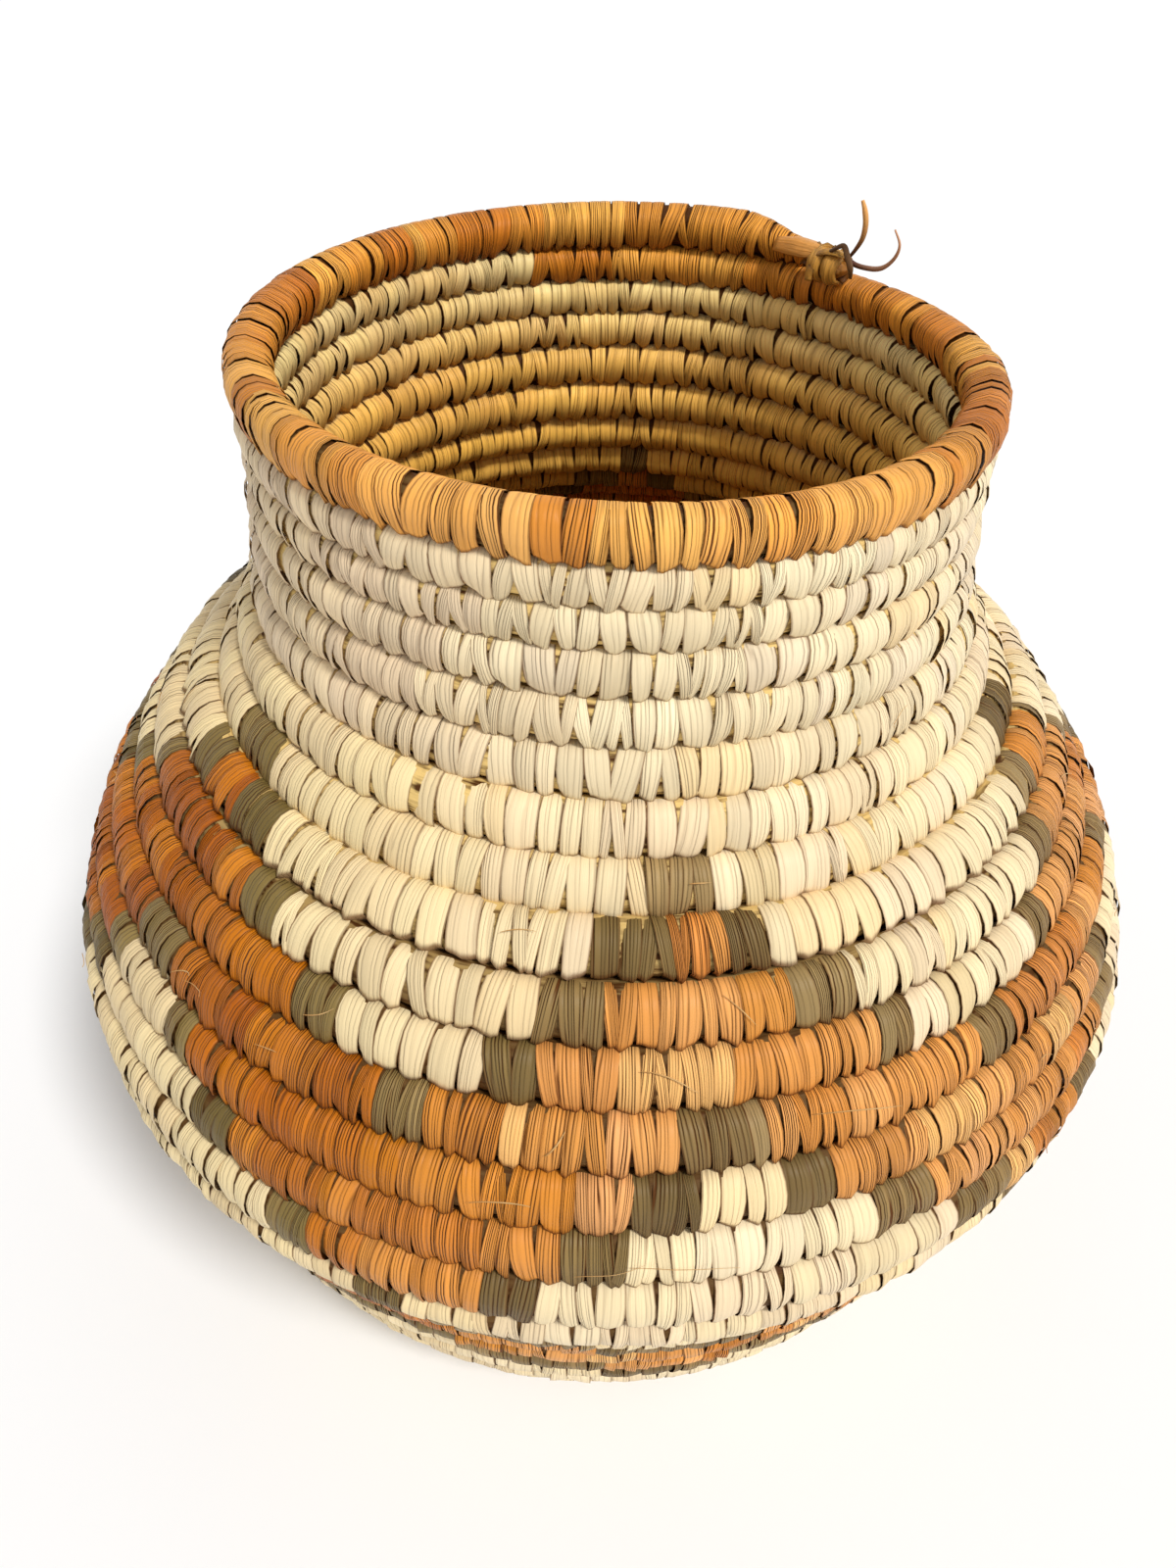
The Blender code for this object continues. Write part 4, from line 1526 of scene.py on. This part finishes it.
    def build(self) -> list[bpy.types.Object]:
        """Make the knot, the tie and the two loose ends.

        Returns:
            The finished pieces.
        """
        core = [self.place((x * self.knot_length * 0.44, 0.0, 0.0)) for x in (-1.0, -0.5, 0.0, 0.5, 1.0)]
        swell = [self.knot_radius * share for share in (0.5, 1.4, 1.5, 1.4, 0.5)]
        lump = Ribbon(core, swell, -self.radial, self.knot_radius * 1.5)
        folded = [self.fold(along, slant) for along, slant in self.folds]
        strand = self.strip(self.strand, [0.0018, 0.0028, 0.0026, 0.0020], 0.4, 1.0, 0.0006, 0.12)
        tab = self.strip(self.tab, [0.0018, 0.0024, 0.0020], 1.0, 0.0, 0.0005, 0.1)
        tongue = self.strip(self.tongue, [0.0050, 0.0066, 0.0060, 0.0046, 0.0020], 0.5, 1.0, 0.0014, 0.24, 8)
        gold = RibbonFinish("knot_gold", (104, 60, 10), (216, 158, 70), 1.3, 0.34, 0.0005).material()
        # The core is painted darker than the folds round it, as shade in the knot's hollows
        core_shaded = RibbonFinish("knot_core", (84, 46, 8), (150, 96, 30), 1.0, 0.5, 0.0005).material()
        bound = RibbonFinish("rim_tongue", (206, 138, 58), (226, 160, 82), 0.5, 0.45, 0.0004).material()
        dark = RibbonFinish("tie_dark", (84, 54, 28), (104, 70, 36), 0.4, 0.5).material()
        stem = RibbonFinish("tail_long", (104, 62, 38), (246, 180, 104)).material()
        curl = RibbonFinish("tail_short", (92, 54, 40), (222, 164, 124)).material()
        tied = [self.tie_width * share for share in (0.28, 0.42, 0.6, 0.72, 0.7, 0.4)]
        tie = self.strip(self.tie, tied, 1.0, 0.6, 0.0005, 0.05)
        long_tail = self.strip(self.long_tail, [0.0008, 0.0011, 0.0014, 0.0014, 0.0008],
                               1.0, 0.0, 0.0004, 0.25, spin=0.5)
        short_tail = self.strip(self.short_tail, [0.0013, 0.0012, 0.0013, 0.0012, 0.0004],
                                1.0, 0.3, 0.0004, 0.25, spin=-0.6)
        straws = [*folded, strand.parts(4), tab.parts(4)]
        return [
            plain_piece("rim_knot", straws, gold, "gold_straw", "rim_end_knot"),
            plain_piece("knot_core", [lump.parts(3)], core_shaded, "gold_straw"),
            plain_piece("rim_tongue", [tongue.parts(4)], bound, "rust_palm"),
            plain_piece("tie", [tie.parts(5)], dark, "dark_palm", "tie_strip"),
            plain_piece("long_end", [long_tail.parts(6)], stem, "rust_palm", "tail_long"),
            plain_piece("short_end", [short_tail.parts(6)], curl, "rust_palm", "tail_short"),
        ]


@dataclass
class LooseFibres:
    """Slivers that have sprung from the strips: those seen in the photo, then more by chance.

    Each that is seen has its row, its azimuth, its slant in degrees and its length.
    """

    path: CoilPath
    seed: int = 11
    count: int = 34
    length: tuple[float, float] = (0.003, 0.009)
    width: tuple[float, float] = (0.00015, 0.00036)
    spring: float = 0.0022
    spring_from: float = 0.45
    clearance: float = 0.0005
    bow: float = 0.15
    reach: float = 0.42
    slant_spread: float = 30.0
    turns: tuple[float, float, float] = (1.0, 17.0, 12.0)
    seen: tuple = ((11, 293.0, 14.0, 0.020), (13, 277.0, 6.0, 0.022), (13, 271.0, -12.0, 0.014),
                   (10, 276.0, 24.0, 0.012), (12, 262.0, -8.0, 0.012), (9, 283.0, 50.0, 0.009))

    def sliver(self, turn: float, slant: float, length: float, chance: random.Random) -> Parts:
        """One sliver that lies over the stitches and springs clear at its ends.

        Args:
            turn: Where its middle lies along the coil.
            slant: Its lean from the coil's line, in degrees.
            length: Its length.
            chance: The seeded random source.

        Returns:
            The sliver's parts.
        """
        radius, girth = self.path.radius(turn), self.path.girth(turn)
        slope, bow = math.radians(slant), chance.uniform(-self.bow, self.bow) * length
        points = []
        for step in range(6):
            s = step / 2.5 - 1.0
            along = s * length / 2 * math.cos(slope)
            down = s * length / 2 * math.sin(slope) + bow * (1.0 - s * s)
            down = max(min(down, self.reach * girth), -self.reach * girth)
            sprung = self.spring * chance.uniform(0.1, 1.0) * max(abs(s) - self.spring_from, 0.0)
            out = math.sqrt(max((girth / 2) ** 2 - down**2, 0.0)) + (self.clearance + sprung)
            points.append(self.path.point(turn + along / (2 * math.pi * radius), out, down))
        width = chance.uniform(*self.width)
        facing = self.path.point(turn, 1.0) - self.path.point(turn, 0.0)
        widths = [width * share for share in (0.5, 1.0, 1.0, 0.3)]
        return Ribbon(points, widths, facing, width * 0.6, columns=2).parts(2)

    def build(self) -> bpy.types.Object:
        """Scatter the slivers over the turns.

        Returns:
            The finished piece.
        """
        chance = random.Random(self.seed)
        parts = []
        for row, azimuth, slant, length in self.seen:
            turn = row + (azimuth - self.path.rim_end) / 360.0
            parts.append(self.sliver(turn, slant, length, chance))
        for _ in range(self.count):
            turn, slant = chance.triangular(*self.turns), chance.gauss(0.0, self.slant_spread)
            parts.append(self.sliver(turn, slant, chance.uniform(*self.length), chance))
        finish = RibbonFinish("loose_fibre", (196, 146, 84), (222, 182, 122), 0.3, 0.5)
        return plain_piece("loose_fibres", parts, finish.material(), "gold_straw")


@dataclass
class Studio:
    """The plain floor, the soft light and the photo's camera."""

    focal: float = 1160.0
    picture_height: float = 1600.0
    sensor: float = 36.0
    place: tuple = (-0.0035, -0.2551, 0.3672)
    down: float = 41.74
    pan: float = -0.26
    roll: float = 1.29
    floor_size: float = 12.0
    floor_colour: float = 0.93
    sky: float = 0.50
    key_power: float = 2.34
    key_angle: float = 12.0
    key_from: tuple = (0.52, -0.55, 1.05)

    def floor(self) -> None:
        """Lay a plain pale floor under the basket."""
        half = self.floor_size / 2
        mesh = bpy.data.meshes.new("floor")
        corners = [(-half, -half, 0), (half, -half, 0), (half, half, 0), (-half, half, 0)]
        mesh.from_pydata(corners, [], [(0, 1, 2, 3)])
        plain = bpy.data.materials.new("floor")
        cleared(plain).surface((*[self.floor_colour] * 3, 1.0), 1.0, 0.0)
        mesh.materials.append(plain)
        placed("floor", mesh)

    def light(self) -> None:
        """Set a soft sky all round, white to the camera, and one soft key light from above."""
        world = bpy.data.worlds.new("studio")
        desk = cleared(world)
        rays = desk.node("ShaderNodeLightPath")
        kinds = ("Is Camera Ray", "Is Glossy Ray", "Is Transmission Ray")
        camera, glossy, passed = (desk.out(rays, kind) for kind in kinds)
        seen = desk.math("MAXIMUM", camera, desk.math("MAXIMUM", glossy, passed))
        values = [{"Color": (1.0, 1.0, 1.0, 1.0), "Strength": strength} for strength in (self.sky, 1.0)]
        soft, white = (desk.out(desk.node("ShaderNodeBackground", None, given)) for given in values)
        both = desk.node("ShaderNodeMixShader", None, {0: seen, 1: soft, 2: white})
        desk.node("ShaderNodeOutputWorld", None, {"Surface": desk.out(both)})
        bpy.context.scene.world = world
        lamp = bpy.data.lights.new("key", "SUN")
        lamp.angle, lamp.energy = math.radians(self.key_angle), self.key_power
        holder = placed("key", lamp)
        holder.rotation_mode = "QUATERNION"
        holder.rotation_quaternion = (-Vector(self.key_from)).to_track_quat("-Z", "Y")

    def camera(self) -> None:
        """Put the camera where the photo was taken from."""
        data = bpy.data.cameras.new("camera")
        data.sensor_fit, data.sensor_width, data.sensor_height = "VERTICAL", self.sensor, self.sensor
        data.lens = self.focal / self.picture_height * self.sensor
        data.clip_start, data.clip_end = 0.01, 50.0
        pan, down, roll = (math.radians(a) for a in (self.pan, self.down, self.roll))
        ahead = Vector((math.sin(pan) * math.cos(down), math.cos(pan) * math.cos(down), -math.sin(down)))
        right = Vector((math.cos(pan), -math.sin(pan), 0.0))
        up = right.cross(ahead)
        level_right = right * math.cos(roll) + up * math.sin(roll)
        level_up = up * math.cos(roll) - right * math.sin(roll)
        turned = Matrix((level_right, level_up, -ahead)).transposed().to_4x4()
        holder = placed("camera", data)
        holder.matrix_world = Matrix.Translation(self.place) @ turned
        bpy.context.scene.camera = holder

    def build(self) -> None:
        """Set the whole studio."""
        self.floor()
        self.light()
        self.camera()
        bpy.context.scene.view_settings.view_transform = "Standard"
        log.info("studio: floor, sky, key lamp and camera")


def main() -> None:
    """Build the basket's looks piece by piece, then the studio."""
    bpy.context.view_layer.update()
    path = CoilPath()
    Wrapping(path, Pattern()).build()
    Bundle(path).build()
    RimEnd(path).build()
    LooseFibres(path).build()
    Studio().build()


if __name__ == "__main__":
    main()
